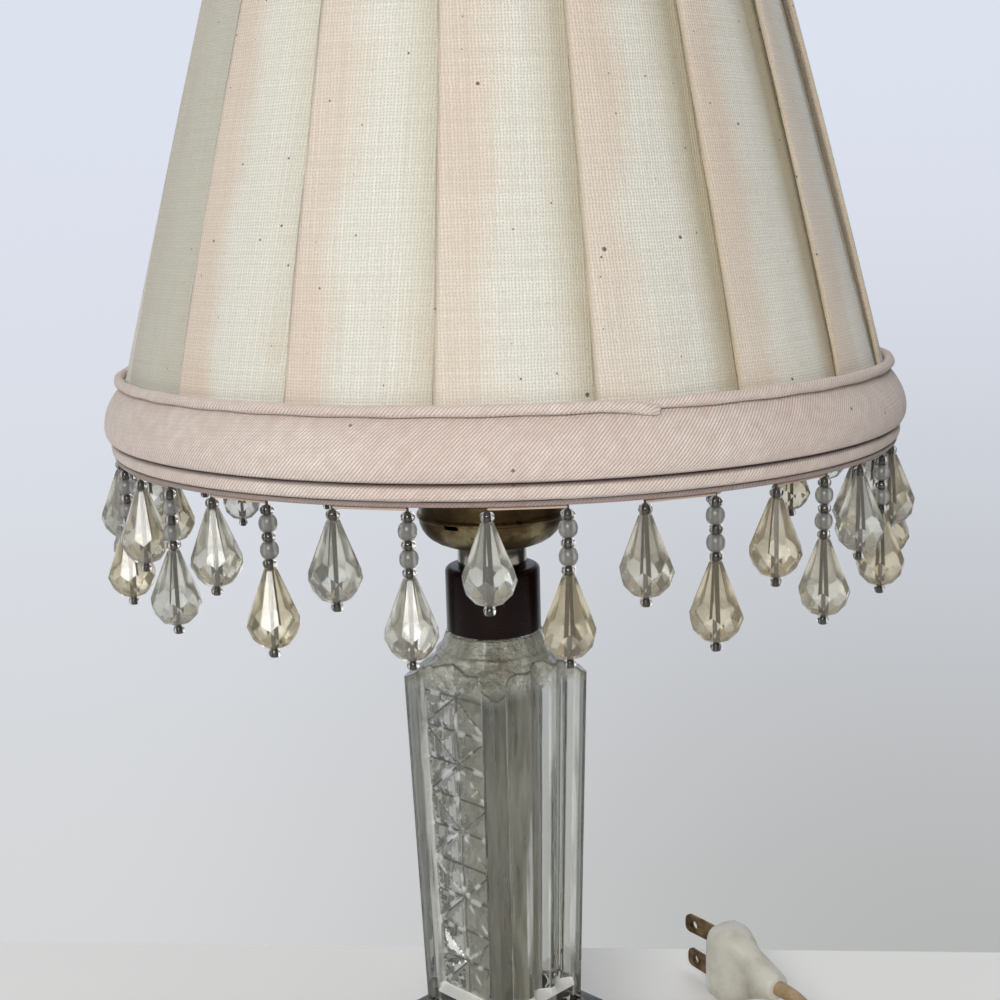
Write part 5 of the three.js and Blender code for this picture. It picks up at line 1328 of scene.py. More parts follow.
# Frame and lining: two wire rings joined by six straight ribs, soldered where they meet, with a thin
# ivory lining cloth sewn inside them. The lining has two seams, is drawn slightly in between the ribs,
# and is slit at its top edge where the cross wire's arms pass.
SHADE_BOTTOM, SHADE_TOP = 202.7, 380.7
SHADE_BOTTOM_RADIUS, SHADE_TOP_RADIUS = 101.2, 52.4
RING_WIRE_RADIUS, RIB_WIRE_RADIUS, RIB_COUNT, RIB_START = 1.2, 1.05, 6, 30
BOTTOM_RING, RING_STEPS = 205.7, 144
WIRE_INSET, LINING_INSET = 4.5, 6.4
LINING_BOTTOM, LINING_TOP = 203.3, 378.1
LINING_ROWS, LINING_STEPS = 48, 240
LINING_THICKNESS, LINING_DRAW, LINING_PITCH = 0.5, 0.5, 1 / 2.6
LINING_SEAMS = (math.radians(75), math.radians(255))
LINING_GATHER, GATHER_FOLDS, LINING_MEAN_RADIUS = 0.12, 40, 70
SLIT_HALF_WIDTH, SLIT_DEPTH, SLIT_FADE = 2.1, 4.0, 6


def fold_radius(height):
    share = (height - SHADE_BOTTOM) / (SHADE_TOP - SHADE_BOTTOM)
    return between(SHADE_BOTTOM_RADIUS, SHADE_TOP_RADIUS, share)


def woven(cloth, places, pitch, warp=0.65, weft=0.5):
    """Height of a plain weave, 0 to 1, with a thread every pitch millimetres each way."""
    threads = cloth.node("VectorMath", {0: places, "Scale": 1 / pitch}, operation="SCALE").outputs[0]
    waves = [cloth.maths("SINE", cloth.times(side, math.pi)) for side in cloth.sides(threads)[:2]]
    over = cloth.times(*waves)
    ridges = [
        cloth.times(cloth.maths("ABSOLUTE", wave), cloth.maths("MULTIPLY_ADD", over, sway, high))
        for wave, high, sway in zip(waves, (warp, weft), (0.35, -0.35))
    ]
    return cloth.maths("MAXIMUM", *ridges)


def on_shade(azimuth, reach, height):
    return (SHADE_SHIFT + reach * math.cos(azimuth), reach * math.sin(azimuth), height)


def ring_reach(height):
    return fold_radius(height) - WIRE_INSET


def frame_mesh():
    meshes = []
    for height in (BOTTOM_RING, TOP_RING):
        turns = [2 * math.pi * k / RING_STEPS for k in range(RING_STEPS)]
        route = [on_shade(azimuth, ring_reach(height), height) for azimuth in turns]
        meshes.append(tube_mesh(route, RING_WIRE_RADIUS, 12, closed=True)[:2])
    for rib in range(RIB_COUNT):
        azimuth = math.radians(RIB_START + 360 / RIB_COUNT * rib)
        ends = [on_shade(azimuth, ring_reach(height), height) for height in (BOTTOM_RING, TOP_RING)]
        meshes.append(tube_mesh(ends, RIB_WIRE_RADIUS, 12)[:2])
        meshes.extend(solder(end, 1.45, 0.9) for end in ends)
    return together(*meshes)


def lining_mesh():
    rings, uvs, from_seam = [], [], []
    slant = math.hypot(LINING_TOP - LINING_BOTTOM, fold_radius(LINING_BOTTOM) - fold_radius(LINING_TOP))
    for row in range(LINING_ROWS + 1):
        share = row / LINING_ROWS
        ring = []
        for step in range(LINING_STEPS):
            azimuth = 2 * math.pi * step / LINING_STEPS
            height = LINING_BOTTOM + (LINING_TOP - LINING_BOTTOM) * share
            reach = fold_radius(height) - LINING_INSET - LINING_THICKNESS / 2
            # The top edge dips into a slit where each arm passes
            aside = abs(math.remainder(azimuth, math.pi)) * reach
            slit = max(0, 1 - aside / SLIT_HALF_WIDTH) ** 0.5 * SLIT_DEPTH
            height -= slit * max(0, 1 - (1 - share) * SLIT_FADE)
            reach = fold_radius(height) - LINING_INSET - LINING_THICKNESS / 2
            from_rib = abs(math.remainder(azimuth - math.radians(RIB_START), math.pi / 3)) * 6 / math.pi
            drawn = math.sin(math.pi * share) * (0.5 - 0.5 * math.cos(math.pi * from_rib))
            folds = math.sin(GATHER_FOLDS * azimuth + 2 * math.sin(3 * azimuth))
            gather = LINING_GATHER * folds * (1 - 0.6 * share)
            ring.append(on_shade(azimuth, reach - LINING_DRAW * drawn - abs(gather), height))
            uvs.append((azimuth * LINING_MEAN_RADIUS, share * slant))
            off_seams = (abs(math.remainder(azimuth - seam, 2 * math.pi)) for seam in LINING_SEAMS)
            from_seam.append(min(off_seams) * reach)
        rings.append(ring)
    return skin(rings, caps=False), uvs, from_seam, slant


def lining_finish():
    cloth = Finish("ivory_lining", Roughness=0.6, Sheen_Weight=0.3, Sheen_Roughness=0.35)
    uv = cloth.node("UVMap", uv_map="UVMap").outputs[0]
    height = woven(cloth, uv, LINING_PITCH, 0.6, 0.6)
    colour = cloth.mixed(cloth.blotches(0.02, where=uv), (0.80, 0.75, 0.64), (0.70, 0.60, 0.44))
    # The weave's hollows are darkened as painted shade.
    colour = cloth.mixed(cloth.span(height, 0.4, 0.1, most=0.35), colour, (0.45, 0.36, 0.24))
    seam = cloth.span(cloth.marked("from_seam"), 1, 0.2)
    fold = cloth.raised(cloth.maths("SUBTRACT", 1, seam), 0.0004, 0.8)
    return cloth.finished(
        Base_Color=cloth.mixed(seam, colour, (0.42, 0.33, 0.2), most=0.55),
        Normal=cloth.raised(height, 0.00008, 0.5, fold),
    )


wires = make_piece("soldered_frame", *frame_mesh(), tinned_wire, "shade", "wire", sharp=40)
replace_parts(wires, "shade_frame")
lining_skin, lining_uvs, lining_from_seam, lining_slant = lining_mesh()
lining = make_piece("cloth_lining", *lining_skin, lining_finish(), "shade", "lining", lining_uvs, sharp=180)
mark(lining, "from_seam", lining_from_seam)
give_thickness(lining, LINING_THICKNESS)
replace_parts(lining, "shade_lining")


# Pleated cover: one length of plain-woven silk-like cream cloth, laid in eighteen knife pleats over the
# frame. Each pleat's fold stands proud in the middle of the shade and is pressed flat under the band and
# the top trim. Age has turned the cloth peach where it is doubled behind each fold.
PLEAT_COUNT = 18
PLEAT_CLOTH = 45.3
# The pleat that is greyed as painted shade.
SHADED_PLEAT = 15.5
PLEAT_START = -9.3
COVER_BOTTOM, COVER_TOP, COVER_ROWS, COVER_STEPS = 208.7, 378.1, 64, 34
FREE_BOTTOM, FREE_TOP = 223.5, 370
CLOTH_THICKNESS, CLOTH_PITCH = 0.5, 0.7
PLEAT_SEED, PLEAT_LEAN, PLEAT_STRAY, SWELL_SHAPE = 7, 0.12, 0.35, 0.55
FOLD_POINTS, FOLD_SHARE = 58, 0.42
COVER_SLANT = math.hypot(COVER_TOP - COVER_BOTTOM, fold_radius(COVER_BOTTOM) - fold_radius(COVER_TOP))


def pleat_section(width, lap, swell, swing):
    """Points across one pleat, from the hidden inner fold to the next one: distance round, and depth."""
    turn_down = max(0.7 * width, lap + 1)
    knots = [
        (lap, 1.75), (lap - 0.5, 1.4), (0.6 * lap, 1.25 - 0.3 * swell), (0.9, 1.0 - 1.35 * swell),
        (0.15, 0.85 - 1.5 * swell), (0.0, 0.6 - 1.55 * swell), (0.3, 0.36 - 1.6 * swell),
        (1.2, 0.3 - 1.55 * swell), (0.22 * width, 0.3 - (1.0 + swing) * swell),
        (0.5 * width, 0.35 - (0.35 + swing) * swell), (turn_down, 0.75 - 0.2 * swell),
        ((turn_down + 2 * width) / 3, 1.35 + 0.15 * swell), (width - 0.8, 2.0 + 0.35 * swell),
        (width + 0.3, 2.15 + 0.3 * swell), (width + 0.5 * lap, 2.2 + 0.1 * swell),
        (width + lap - 0.5, 2.1), (width + lap, 1.75),
    ]
    curve = np.array(smooth_path([(*knot, 0) for knot in knots], steps=8))[:, :2]
    steps = np.linalg.norm(np.diff(curve, axis=0), axis=1)
    run = np.concatenate(([0], np.cumsum(steps)))
    spread = np.linspace(0, 1, COVER_STEPS + 1)
    # More points where the cloth turns over the fold than along its open face
    dense = np.interp(spread, (0, FOLD_SHARE, 1), (0, run[FOLD_POINTS] / run[-1], 1)) * run[-1]
    return np.stack([np.interp(dense, run, side) for side in curve.T], axis=1), dense


def cover_mesh():
    chance = np.random.default_rng(PLEAT_SEED)
    lean = chance.uniform(-PLEAT_LEAN, PLEAT_LEAN, PLEAT_COUNT)
    stray = chance.uniform(-PLEAT_STRAY, PLEAT_STRAY, (PLEAT_COUNT, 3))
    rings, uvs, from_fold, before_next = [], [], [], []
    for row in range(COVER_ROWS + 1):
        share = row / COVER_ROWS
        height = COVER_BOTTOM + (COVER_TOP - COVER_BOTTOM) * share
        radius = fold_radius(height)
        width = radius * 2 * math.pi / PLEAT_COUNT
        lap = max((PLEAT_CLOTH - width) / 2 - 0.4, 2)
        free = min(max((height - FREE_BOTTOM) / (FREE_TOP - FREE_BOTTOM), 0), 1)
        swell = math.sin(math.pi * free) ** SWELL_SHAPE if 0 < free < 1 else 0.0
        ring = []
        for pleat in range(PLEAT_COUNT):
            section, run = pleat_section(width, lap, swell, lean[pleat])
            start = math.radians(PLEAT_START - 90 + pleat * 360 / PLEAT_COUNT)
            wander, wander_next = (
                stray[k, 0] * math.sin(math.pi * share) + stray[k, 1] * math.sin(2 * math.pi * share)
                for k in (pleat, (pleat + 1) % PLEAT_COUNT)
            )
            for (around_by, deep), travelled in zip(section[:-1], run[:-1]):
                handed_over = min(max(2 * around_by / width - 1, 0), 1)
                angle = start + (around_by + wander + (wander_next - wander) * handed_over) / radius
                ring.append(on_shade(angle, radius - deep, height))
                uvs.append(((pleat + travelled / run[-1]) * PLEAT_CLOTH, share * COVER_SLANT))
                from_fold.append(around_by)
                before_next.append(max(width - around_by, 0))
        rings.append(ring)
    return skin(rings, caps=False), uvs, from_fold, before_next


def specks(cloth, uv, spacing, largest):
    """Scattered dark specks: 1 inside a speck. spacing and the largest radius are in millimetres."""
    cells = cloth.node("TexVoronoi", {"Vector": uv, "Scale": 1 / spacing}, voronoi_dimensions="2D").outputs
    chance = cloth.node("SeparateColor", {0: cells["Color"]}).outputs[0]
    size = cloth.span(chance, 0.55, 1, most=largest / spacing)
    return cloth.span(cloth.maths("SUBTRACT", size, cells["Distance"]), 0, 0.15 * largest / spacing)


def pleat_finish():
    cloth = Finish("pleated_cloth", Roughness=0.86, Sheen_Weight=0.25, Sheen_Roughness=0.5)
    uv = cloth.node("UVMap", uv_map="UVMap").outputs[0]
    round_rim, up_slant, _ = cloth.sides(uv)
    from_fold = cloth.marked("from_fold")
    doubled_edge = cloth.maths("MULTIPLY_ADD", cloth.blotches(0.03, 2, where=uv), 5, from_fold)
    aged = cloth.span(cloth.blotches(0.011, 1, where=uv), 0, 1, 0.55, 1.15)
    doubled = cloth.times(cloth.span(doubled_edge, 16, 9.5), aged)
    # Painted shade in the valley before each fold, wider near the top and stronger on the right half of the
    # shade.
    narrowing = cloth.maths("MULTIPLY_ADD", up_slant, -1 / 300, 1.2)
    valley_shade = cloth.span(cloth.times(cloth.marked("before_next"), narrowing), 9, 1, most=0.95)
    valley_shade = cloth.times(valley_shade, cloth.span(cloth.sides()[0], -0.02, 0.06, 0.3))
    # Painted shade along each fold's crease.
    crease_shade = cloth.span(from_fold, 1.1, 0.2, most=0.75)
    stain = cloth.times(cloth.span(up_slant, 45, 8), cloth.blotches(0.05, 3, 0.5, 0.7, uv))
    # One pleat at the far left is greyed as painted shade.
    far_left_shade = cloth.maths("COMPARE", round_rim, SHADED_PLEAT * PLEAT_CLOTH, PLEAT_CLOTH / 2)
    colour = cloth.painted(
        (0.775, 0.78, 0.715), (doubled, (0.745, 0.635, 0.54), 1), (valley_shade, (0.49, 0.43, 0.27), 1),
        (crease_shade, (0.46, 0.37, 0.25), 1), (stain, (0.70, 0.50, 0.36), 0.4), (far_left_shade, (0.43, 0.44, 0.36), 0.6),
    )
    sway = {0: cloth.noise(0.5, 2, where=uv)["Color"], 1: (0.7, 0.7, 0), 2: uv}
    swayed = cloth.node("VectorMath", sway, operation="MULTIPLY_ADD").outputs[0]
    height = woven(cloth, swayed, CLOTH_PITCH)
    ways = [cloth.drawn_out(way, where=uv) for way in ((1.4, 0.02, 1), (0.02, 1.2, 1))]
    slubs = [cloth.noise(1, 2, where=way)[0] for way in ways]
    slubbed = cloth.span(cloth.maths("ADD", *slubs), 0.75, 1.25, 0.36, 0)
    fuzz = cloth.times(cloth.blotches(1.3, 3, 0.5, 0.75, uv), 0.3)
    # The weave's hollows are darkened as painted shade; the slubs and fuzz are the thread's own unevenness.
    hollow_shade = cloth.span(height, 0.6, 0.1)
    shade = cloth.maths("MAXIMUM", cloth.maths("ADD", slubbed, fuzz), hollow_shade, clamped=True)
    colour = cloth.mixed(shade, colour, cloth.mixed(0.8, colour, (0.40, 0.34, 0.26)))
    dots = cloth.maths("MAXIMUM", specks(cloth, uv, 19, 0.52), specks(cloth, uv, 8, 0.27))
    weave = cloth.raised(height, 0.00022, 0.75)
    return cloth.finished(
        Base_Color=cloth.mixed(dots, colour, (0.05, 0.045, 0.04), most=0.85),
        Normal=cloth.raised(cloth.noise(0.09, 3, where=uv)[0], 0.0012, 0.35, weave),
    )


cover_skin, cover_uvs, cover_from_fold, cover_before_next = cover_mesh()
cover = make_piece(
    "pleated_silk_cover", *cover_skin, pleat_finish(), "shade", "pleated_cloth", cover_uvs, sharp=180
)
mark(cover, "from_fold", cover_from_fold)
mark(cover, "before_next", cover_before_next)
give_thickness(cover, CLOTH_THICKNESS)
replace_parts(cover, "pleated_cover")


# Rim band and top trim: pink-beige bias-cut strips of the cover's cloth over wadding. Round the rim lie
# a narrow roll that binds the edge, a padded band above it with a seam between, darkened by painted
# shade, and a thin piping whose two ends lap at the front. A padded strip of the same cloth binds the top
# edge.
BAND_BOTTOM, BAND_TOP, BAND_BACK = 206.7, 219.9, 213
BAND_SWELL = [
    (0.035, 1.1), (0.14, 2.2), (0.3, 2.95), (0.5, 3.1), (0.7, 2.6), (0.86, 1.7), (0.97, 0.75), (1, 0.4),
]
LOWER_ROLL_BOTTOM, LOWER_ROLL_RADIUS, ROLL_INNER = 203.0, 100.6, 97.4
PIPING_RADIUS, PIPING_LAP = 1.25, (math.radians(-72), math.radians(-66))
PIPING_OVER, PIPING_UNDER = 14, 18
BAND_STEPS, PIPING_LAP_STEPS = 432, 8
FINE_PUCKERS, WIDE_PUCKERS, STRAY_PUCKERS = 61, 17, 29
BIAS_PITCH = 0.66
SEAM_DEPTH = 99.8
TRIM_SECTION = [
    (53.35, 371.8), (53.7, 371.75), (55.35, 372.6), (56.05, 374.4), (55.9, 376.6), (54.75, 378.6),
    (53.9, 380.1), (52.7, 380.65), (48.0, 380.65), (45.4, 380.2), (44.7, 379.3), (45.0, 378.85),
    (46.2, 379.1), (49, 379.3), (52.3, 379.1), (53.0, 378.0), (53.15, 375), (53.3, 372.4),
]


def padded_ring(section, sway, phase):
    """A stuffed ring: its section is in millimetres out and up, and sway puckers it."""
    curve = smooth_path([(*point, 0) for point in (*section, section[0])], steps=4)[:-1]
    steps = [(b - a).length for a, b in zip(curve, curve[1:])]
    travelled = [sum(steps[:k]) for k in range(len(curve))]
    middle = sum(point[0] for point in curve) / len(curve)
    rings, uvs = [], []
    for k in range(BAND_STEPS):
        azimuth = 2 * math.pi * k / BAND_STEPS
        pucker = math.sin(FINE_PUCKERS * azimuth + phase) * math.sin(WIDE_PUCKERS * azimuth + 2 * phase)
        pucker += 0.6 * math.sin(STRAY_PUCKERS * azimuth + 3 * phase)
        rings.append([
            on_shade(azimuth, out + sway * pucker * max(out - middle, 0), height) for out, height, _ in curve
        ])
        uvs.extend((azimuth * LOWER_ROLL_RADIUS, along) for along in travelled)
    points, faces = skin(rings, loop=True)
    return points, [tuple(reversed(face)) for face in faces], uvs


def bias_finish():
    cloth = Finish("bias_cloth", Roughness=0.82, Sheen_Weight=0.3, Sheen_Roughness=0.45)
    uv = cloth.node("UVMap", uv_map="UVMap").outputs[0]
    slanted = cloth.drawn_out((1, 1, 1), (0, 0, math.radians(42)), uv)
    height = woven(cloth, slanted, BIAS_PITCH, 0.8, 0.35)
    slub = cloth.noise(1, 2, where=cloth.drawn_out((1.3, 0.03, 1), where=slanted))[0]
    colour = cloth.painted(
        (0.79, 0.715, 0.665),
        (cloth.blotches(0.025, where=uv), (0.71, 0.60, 0.55), 1),
        # Painted shade in the weave's hollows.
        (cloth.span(height, 0.62, 0.1), (0.34, 0.235, 0.19), 1),
        (cloth.span(slub, 0.5, 0.75, most=0.25), (0.83, 0.77, 0.71), 1),
        (cloth.blotches(0.35, 5, where=uv), (0.50, 0.38, 0.33), 0.42),
        (cloth.blotches(0.12, 4, 0.62, 0.8, uv), (0.42, 0.29, 0.22), 0.4),
        # Painted shade: the band darkens towards its right end.
        (cloth.span(cloth.sides()[0], 0.07, 0.107, most=0.5), (0.36, 0.275, 0.24), 1),
        (specks(cloth, uv, 17, 0.5), (0.06, 0.05, 0.05), 0.8),
        # Painted shade in the seam groove between the band and the edge roll, and on the tape under the rim.
        (cloth.span(cloth.marked("from_seam"), 1.1, 0.25, most=0.92), (0.075, 0.028, 0.026), 1),
    )
    rumple = cloth.raised(cloth.blotches(0.16, where=uv), 0.0004, 0.4)
    return cloth.finished(Base_Color=colour, Normal=cloth.raised(height, 0.00022, 0.75, rumple))


def band_section():
    section = [(98.2, BAND_BOTTOM + 0.6), (98.9, BAND_BOTTOM + 0.05), (99.6, BAND_BOTTOM)]
    for share, out in BAND_SWELL:
        height = between(BAND_BOTTOM, BAND_TOP, share)
        section.append((fold_radius(height) + out, height))
    section.append((fold_radius(BAND_BACK) + 0.35, BAND_BACK))
    return section


def lower_roll_section():
    low, high, inner = LOWER_ROLL_BOTTOM, BAND_BOTTOM, ROLL_INNER
    return [
        (inner + 0.3, low + 0.1), (99.4, low + 0.05), (100.3, low + 0.6), (LOWER_ROLL_RADIUS, low + 1.7),
        (100.4, low + 2.8), (99.6, high - 0.25), (98.6, high - 0.2), (inner + 0.2, high - 0.6),
        (inner, low + 1.8),
    ]


def piping_mesh():
    """The piping runs leftwards from its blunt front end right round, and its tail slips under that end."""
    nominal = fold_radius(BAND_TOP + PIPING_RADIUS) + 0.3 + PIPING_RADIUS
    start, tail = PIPING_LAP
    sweep = 2 * math.pi + (tail - start)
    steps = BAND_STEPS + PIPING_LAP_STEPS
    route, radii = [], []
    for step in range(steps + 1):
        turned_by = sweep * step / steps
        arc = turned_by * nominal
        left = (sweep - turned_by) * nominal
        over = max(0, 1 - arc / PIPING_OVER) ** 2
        under = max(0, 1 - left / PIPING_UNDER)
        route.append(on_shade(
            start + 2 * math.pi - turned_by, nominal + 0.55 * over - 0.6 * under,
            BAND_TOP + PIPING_RADIUS - 1.5 * over - 0.35 * under,
        ))
        radii.append(PIPING_RADIUS * (1 - 0.72 * under ** 1.5) * (1 + 0.06 * math.sin(37 * turned_by)))
    radii[0] *= 0.7
    points, faces, uvs = tube_mesh(route, radii, 18)
    return points, faces, [(along, across) for across, along in uvs]


bias_cloth = bias_finish()
for name, (points, faces, uvs), node, fill in (
    ("padded_band", padded_ring(band_section(), 0.022, 0.4), "rim_band", 0.75),
    ("edge_roll", padded_ring(lower_roll_section(), 0.04, 2.0), "rim_band", 0.9),
    ("lapped_piping", piping_mesh(), "rim_band", 0.95),
    ("top_binding", padded_ring(TRIM_SECTION, 0.03, 1.1), "top_trim", 0.5),
):
    piece = make_piece(name, points, faces, bias_cloth, "shade", "band_cloth", uvs, 60)
    # How far each point lies from the seam groove, for the painted shade there.
    outward, depthward, heights = np.array(points).T
    above_seam = np.clip(np.hypot(outward - SHADE_SHIFT, depthward) - SEAM_DEPTH, 0, None) * 0.6
    mark(piece, "from_seam", np.hypot(heights - BAND_BOTTOM, above_seam))
    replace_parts(piece, node)


# Bead fringe: a cotton tape sewn under the rim carries short and long strings of beads by turns, two on
# each thread. Each string ends in a faceted glass drop and a small seed bead. The clear glass is bright,
# some strings have gone amber, and the thread and bead bores are dark.
STRING_PAIRS, STRING_RADIUS, STRING_START = 19, 98.6, -2.9
TAPE_SECTION = [
    (97.35, 202.1), (97.6, 201.85), (98.6, 201.8), (99.6, 201.85), (99.85, 202.1), (99.85, 202.4),
    (99.6, 202.65), (98.6, 202.7), (97.6, 202.65), (97.35, 202.4),
]
THREAD_HEIGHT, THREAD_RADIUS, LOOP_HEIGHT = 200.85, 0.32, 201.3
THREAD_RISE, THREAD_STOP, TAPE_SEAM_SHADE = 0.9, 0.4, 0.55
SEED_RADIUS, SEED_LENGTH, ROUND_RADIUS, ROUND_LENGTH = 1.5, 2.1, 2, 3.7
DROP_RADIUS, DROP_LENGTH, DROP_SIDES, DROP_BORE = 5.75, 17.5, 9, 0.45
END_RADIUS, END_LENGTH = 1.3, 2
BEAD_STEPS, BEAD_FULLNESS = 10, 0.75
AMBER_STRINGS = (1, 3, 4, 7, 9, 13, 16, 20, 22, 27, 31, 35)
CLEAR, DARK, FROSTED, COTTON, MILKY = range(5)
KIND_SEED, KIND_ROUND, KIND_DROP, KIND_END, KIND_THREAD, KIND_LOOP = range(6)
BEAD_TIP = 0.07
BEAD_LENGTHS = (SEED_LENGTH, ROUND_LENGTH, DROP_LENGTH, END_LENGTH)
SHORT_RUN = (KIND_SEED, KIND_DROP, KIND_END)
LONG_RUN = (KIND_SEED, KIND_ROUND, KIND_SEED, KIND_ROUND, *SHORT_RUN)


def with_core(glass, finish, radius, bottom, top, sides=12):
    """Glass with a dark rod of thread and grime in its bore: points, faces and a finish for each point."""
    core = lathe([(0, bottom), (radius, bottom), (radius, top), (0, top)], sides)
    return together(glass, core), [finish] * len(glass[0]) + [DARK] * len(core[0])


def round_bead(radius, length, bore, finish, sides=16):
    profile = []
    for k in range(BEAD_STEPS + 1):
        angle = math.pi * k / BEAD_STEPS
        reach = bore + (radius - bore) * math.sin(angle) ** BEAD_FULLNESS
        profile.append((reach, -length / 2 * (1 + math.cos(angle))))
    return with_core(lathe(profile, sides), finish, bore + 0.03, -length + 0.1, -0.1)


def faceted_drop():
    """A drop with flat facets: a tall crown, a zigzag girdle and a rounded base, bored from end to end."""
    rings = [
        (DROP_BORE, 0, 0), (1.25, 0, 0), (1.5, -0.35, 0), (0.98 * DROP_RADIUS, -10.9, 0),
        (DROP_RADIUS, -12.4, 0.5), (0.84 * DROP_RADIUS, -14.9, 1), (0.55 * DROP_RADIUS, -16.7, 1.5),
        (1.3, -DROP_LENGTH + 0.05, 2), (DROP_BORE, -DROP_LENGTH + 0.05, 2),
    ]
    points, faces = [], []
    for radius, height, shift in rings:
        for k in range(DROP_SIDES):
            angle = 2 * math.pi * (k + shift) / DROP_SIDES
            points.append((radius * math.cos(angle), radius * math.sin(angle), height))
    for i, ring in enumerate(rings):
        under = (i + 1) % len(rings)
        low, high = under * DROP_SIDES, i * DROP_SIDES
        slips = rings[under][2] - ring[2]
        for k in range(DROP_SIDES):
            nxt = (k + 1) % DROP_SIDES
            if slips == 0.5:
                faces.extend(((high + k, low + k, high + nxt), (high + nxt, low + k, low + nxt)))
            else:
                below, below_next = ((step - round(slips)) % DROP_SIDES for step in (k, nxt))
                faces.append((high + k, low + below, low + below_next, high + nxt))
    return with_core((points, faces), MILKY, DROP_BORE + 0.04, -DROP_LENGTH + 0.3, -0.2)


def thread_unit(finish):
    points, faces = lathe([(0, -1), (THREAD_RADIUS, -1), (THREAD_RADIUS, 0), (0, 0)], 8)
    return (points, faces), [finish] * len(points)


def bead_finish():
    glass = Finish("bead_glass", IOR=1.52)
    dark, frosted, cotton, milky = (
        glass.maths("COMPARE", glass.marked("part"), part, 0.2) for part in (DARK, FROSTED, COTTON, MILKY)
    )
    film = glass.blotches(700, 4, 0.5, 0.8)
    aged = glass.mixed(glass.marked("age"), (0.87, 0.87, 0.80), (0.87, 0.79, 0.60))
    colour = glass.painted(
        (0.93, 0.93, 0.92), (milky, glass.mixed(film, aged, (0.62, 0.58, 0.46), most=0.4), 1),
        (frosted, (0.56, 0.56, 0.535), 1), (dark, (0.045, 0.036, 0.028), 1), (cotton, (0.55, 0.42, 0.33), 1),
    )
    hazy = glass.maths("MULTIPLY_ADD", frosted, 0.22, glass.times(milky, 0.1))
    solid = glass.maths("ADD", dark, cotton)
    rough = glass.maths("MULTIPLY_ADD", hazy, 1.3, 0.02)
    rough = glass.maths("MULTIPLY_ADD", glass.times(film, milky), 0.05, rough)
    return glass.finished(
        Base_Color=colour,
        Transmission_Weight=glass.times(glass.maths("SUBTRACT", 1, hazy), glass.maths("SUBTRACT", 1, solid)),
        Roughness=glass.maths("ADD", glass.times(solid, 0.6), rough),
    )


def template(number, made, flat=False):
    """An object to repeat, kept in a collection of its own until every string is made."""
    mesh_parts, parts = made
    bead = new_object("bead_%d" % number, *mesh_parts)
    work = bmesh.new()
    work.from_mesh(bead.data)
    bmesh.ops.recalc_face_normals(work, faces=work.faces)
    work.to_mesh(bead.data)
    work.free()
    if flat:
        bead.data.shade_flat()
    else:
        bead.data.shade_smooth()
        bead.data.set_sharp_from_angle(angle=math.radians(50))
    mark(bead, "part", parts)
    templates.objects.link(bead)


def string_tree():
    """Geometry nodes that set the right bead on each point, tipped a little at random."""
    tree = bpy.data.node_groups.new("bead_strings", "GeometryNodeTree")
    sockets = {}
    for name, kind in (
        ("Geometry", "Geometry"), ("Beads", "Collection"), ("Finish", "Material"), ("Tip", "Float"),
        ("Seed", "Int"),
    ):
        socket = tree.interface.new_socket(name=name, in_out="INPUT", socket_type="NodeSocket" + kind)
        sockets[name] = socket.identifier
    tree.interface.new_socket(name="Geometry", in_out="OUTPUT", socket_type="NodeSocketGeometry")

    def node(kind, inputs=(), **settings):
        return new_node(tree, kind, inputs, **settings).outputs

    def named(name, data_type):
        return node("GeometryNodeInputNamedAttribute", {"Name": name}, data_type=data_type)["Attribute"]

    given = node("NodeGroupInput")
    beads = node(
        "GeometryNodeCollectionInfo",
        {"Collection": given["Beads"], "Separate Children": True, "Reset Children": True},
        transform_space="ORIGINAL",
    )
    chance = node(
        "FunctionNodeRandomValue", {"Min": (-1, -1, -1), "Max": (1, 1, 1), "Seed": given["Seed"]},
        data_type="FLOAT_VECTOR",
    )
    tipped = node("ShaderNodeVectorMath", {0: chance["Value"], "Scale": given["Tip"]}, operation="SCALE")
    loose, turn = named("loose", "FLOAT_VECTOR"), named("turn", "FLOAT_VECTOR")
    turned = node("ShaderNodeVectorMath", {0: tipped[0], 1: loose, 2: turn}, operation="MULTIPLY_ADD")
    strung = node("GeometryNodeInstanceOnPoints", {
        "Points": given["Geometry"], "Instance": beads[0], "Pick Instance": True,
        "Instance Index": named("kind", "INT"), "Rotation": turned[0],
        "Scale": named("size", "FLOAT_VECTOR"),
    })
    real = node("GeometryNodeRealizeInstances", {0: strung[0]})
    painted = node("GeometryNodeSetMaterial", {"Geometry": real[0], "Material": given["Finish"]})
    node("NodeGroupOutput", {0: painted[0]})
    return tree, sockets


def string_points(pair):
    """Places of the beads and threads of a pair of strings: place, kind, turn, size, loose and age."""
    made, tops = [], []
    for number, run in ((2 * pair, SHORT_RUN), (2 * pair + 1, LONG_RUN)):
        azimuth = math.radians(STRING_START + 180 / STRING_PAIRS * number - 90)
        x, y, height = on_shade(azimuth, STRING_RADIUS, THREAD_HEIGHT - 0.1)
        tops.append((x, y))
        age = 1.0 if number in AMBER_STRINGS else 0.2 * (number % 3)
        for kind in run:
            turned_by = azimuth + math.radians(20 * ((7 * number + kind) % 5))
            loose = (1, 1, 0) if kind != KIND_DROP else (0.3, 0.3, 8)
            made.append(((x, y, height), kind, (0, 0, turned_by), (1, 1, 1), loose, age))
            height -= BEAD_LENGTHS[kind]
        thread_top = THREAD_HEIGHT + THREAD_RISE
        thread_size = (1, 1, thread_top - height - THREAD_STOP)
        made.append(((x, y, thread_top), KIND_THREAD, (0, 0, 0), thread_size, (0, 0, 0), 0))
    (x, y), (next_x, next_y) = tops
    turn = (0, -math.pi / 2, math.atan2(next_y - y, next_x - x))
    size = (1, 1, math.hypot(next_x - x, next_y - y))
    made.append(((x, y, LOOP_HEIGHT), KIND_LOOP, turn, size, (0, 0, 0), 0))
    return made


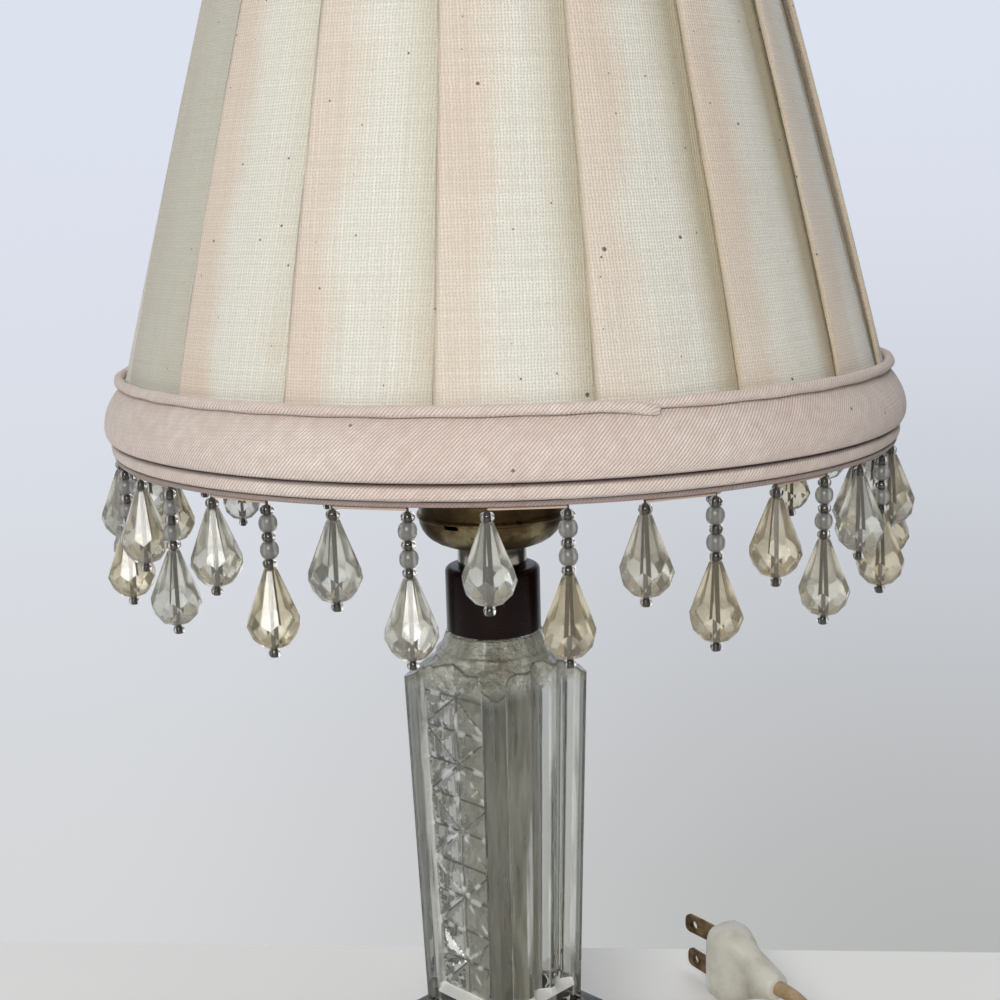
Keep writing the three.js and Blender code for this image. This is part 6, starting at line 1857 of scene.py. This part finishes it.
tape_points, tape_faces, tape_uvs = padded_ring(TAPE_SECTION, 0.01, 3.0)
tape = make_piece("fringe_heading", tape_points, tape_faces, bias_cloth, "shade", "tape", tape_uvs, 60)
# The tape under the rim gets a share of the seam's painted shade.
mark(tape, "from_seam", [TAPE_SEAM_SHADE] * len(tape.data.vertices))
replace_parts(tape, "fringe_tape")
templates = bpy.data.collections.new("bead_templates")
template(KIND_SEED, round_bead(SEED_RADIUS, SEED_LENGTH, 0.5, CLEAR))
template(KIND_ROUND, round_bead(ROUND_RADIUS, ROUND_LENGTH, 0.55, FROSTED, 20))
template(KIND_DROP, faceted_drop(), flat=True)
template(KIND_END, round_bead(END_RADIUS, END_LENGTH, 0.45, CLEAR, 14))
template(KIND_THREAD, thread_unit(DARK))
template(KIND_LOOP, thread_unit(COTTON))
bead_glass = bead_finish()
strings, string_inputs = string_tree()
for pair in range(STRING_PAIRS):
    made = string_points(pair)
    piece = new_object("bead_strings_%02d" % (pair + 1), [entry[0] for entry in made], [])
    for name, kind, column in (
        ("kind", "INT", 1), ("turn", "FLOAT_VECTOR", 2), ("size", "FLOAT_VECTOR", 3),
        ("loose", "FLOAT_VECTOR", 4), ("age", "FLOAT", 5),
    ):
        layer = piece.data.attributes.new(name, kind, "POINT")
        values = np.array([entry[column] for entry in made])
        layer.data.foreach_set("vector" if kind == "FLOAT_VECTOR" else "value", values.ravel())
    set_beads = piece.modifiers.new("strings", "NODES")
    set_beads.node_group = strings
    for name, value in (("Beads", templates), ("Finish", bead_glass), ("Tip", BEAD_TIP), ("Seed", pair)):
        set_beads[string_inputs[name]] = value
    evaluated = piece.evaluated_get(bpy.context.evaluated_depsgraph_get())
    strung = bpy.data.meshes.new_from_object(evaluated)
    piece.modifiers.clear()
    piece.data = strung
    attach(piece, "strings_%02d" % (pair + 1))
    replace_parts(piece, "fringe_pair_%02d" % (pair + 1))
for bead in list(templates.objects):
    bpy.data.objects.remove(bead)
bpy.data.collections.remove(templates)


# Sizes: the finished lamp's box, in metres.
low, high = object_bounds()
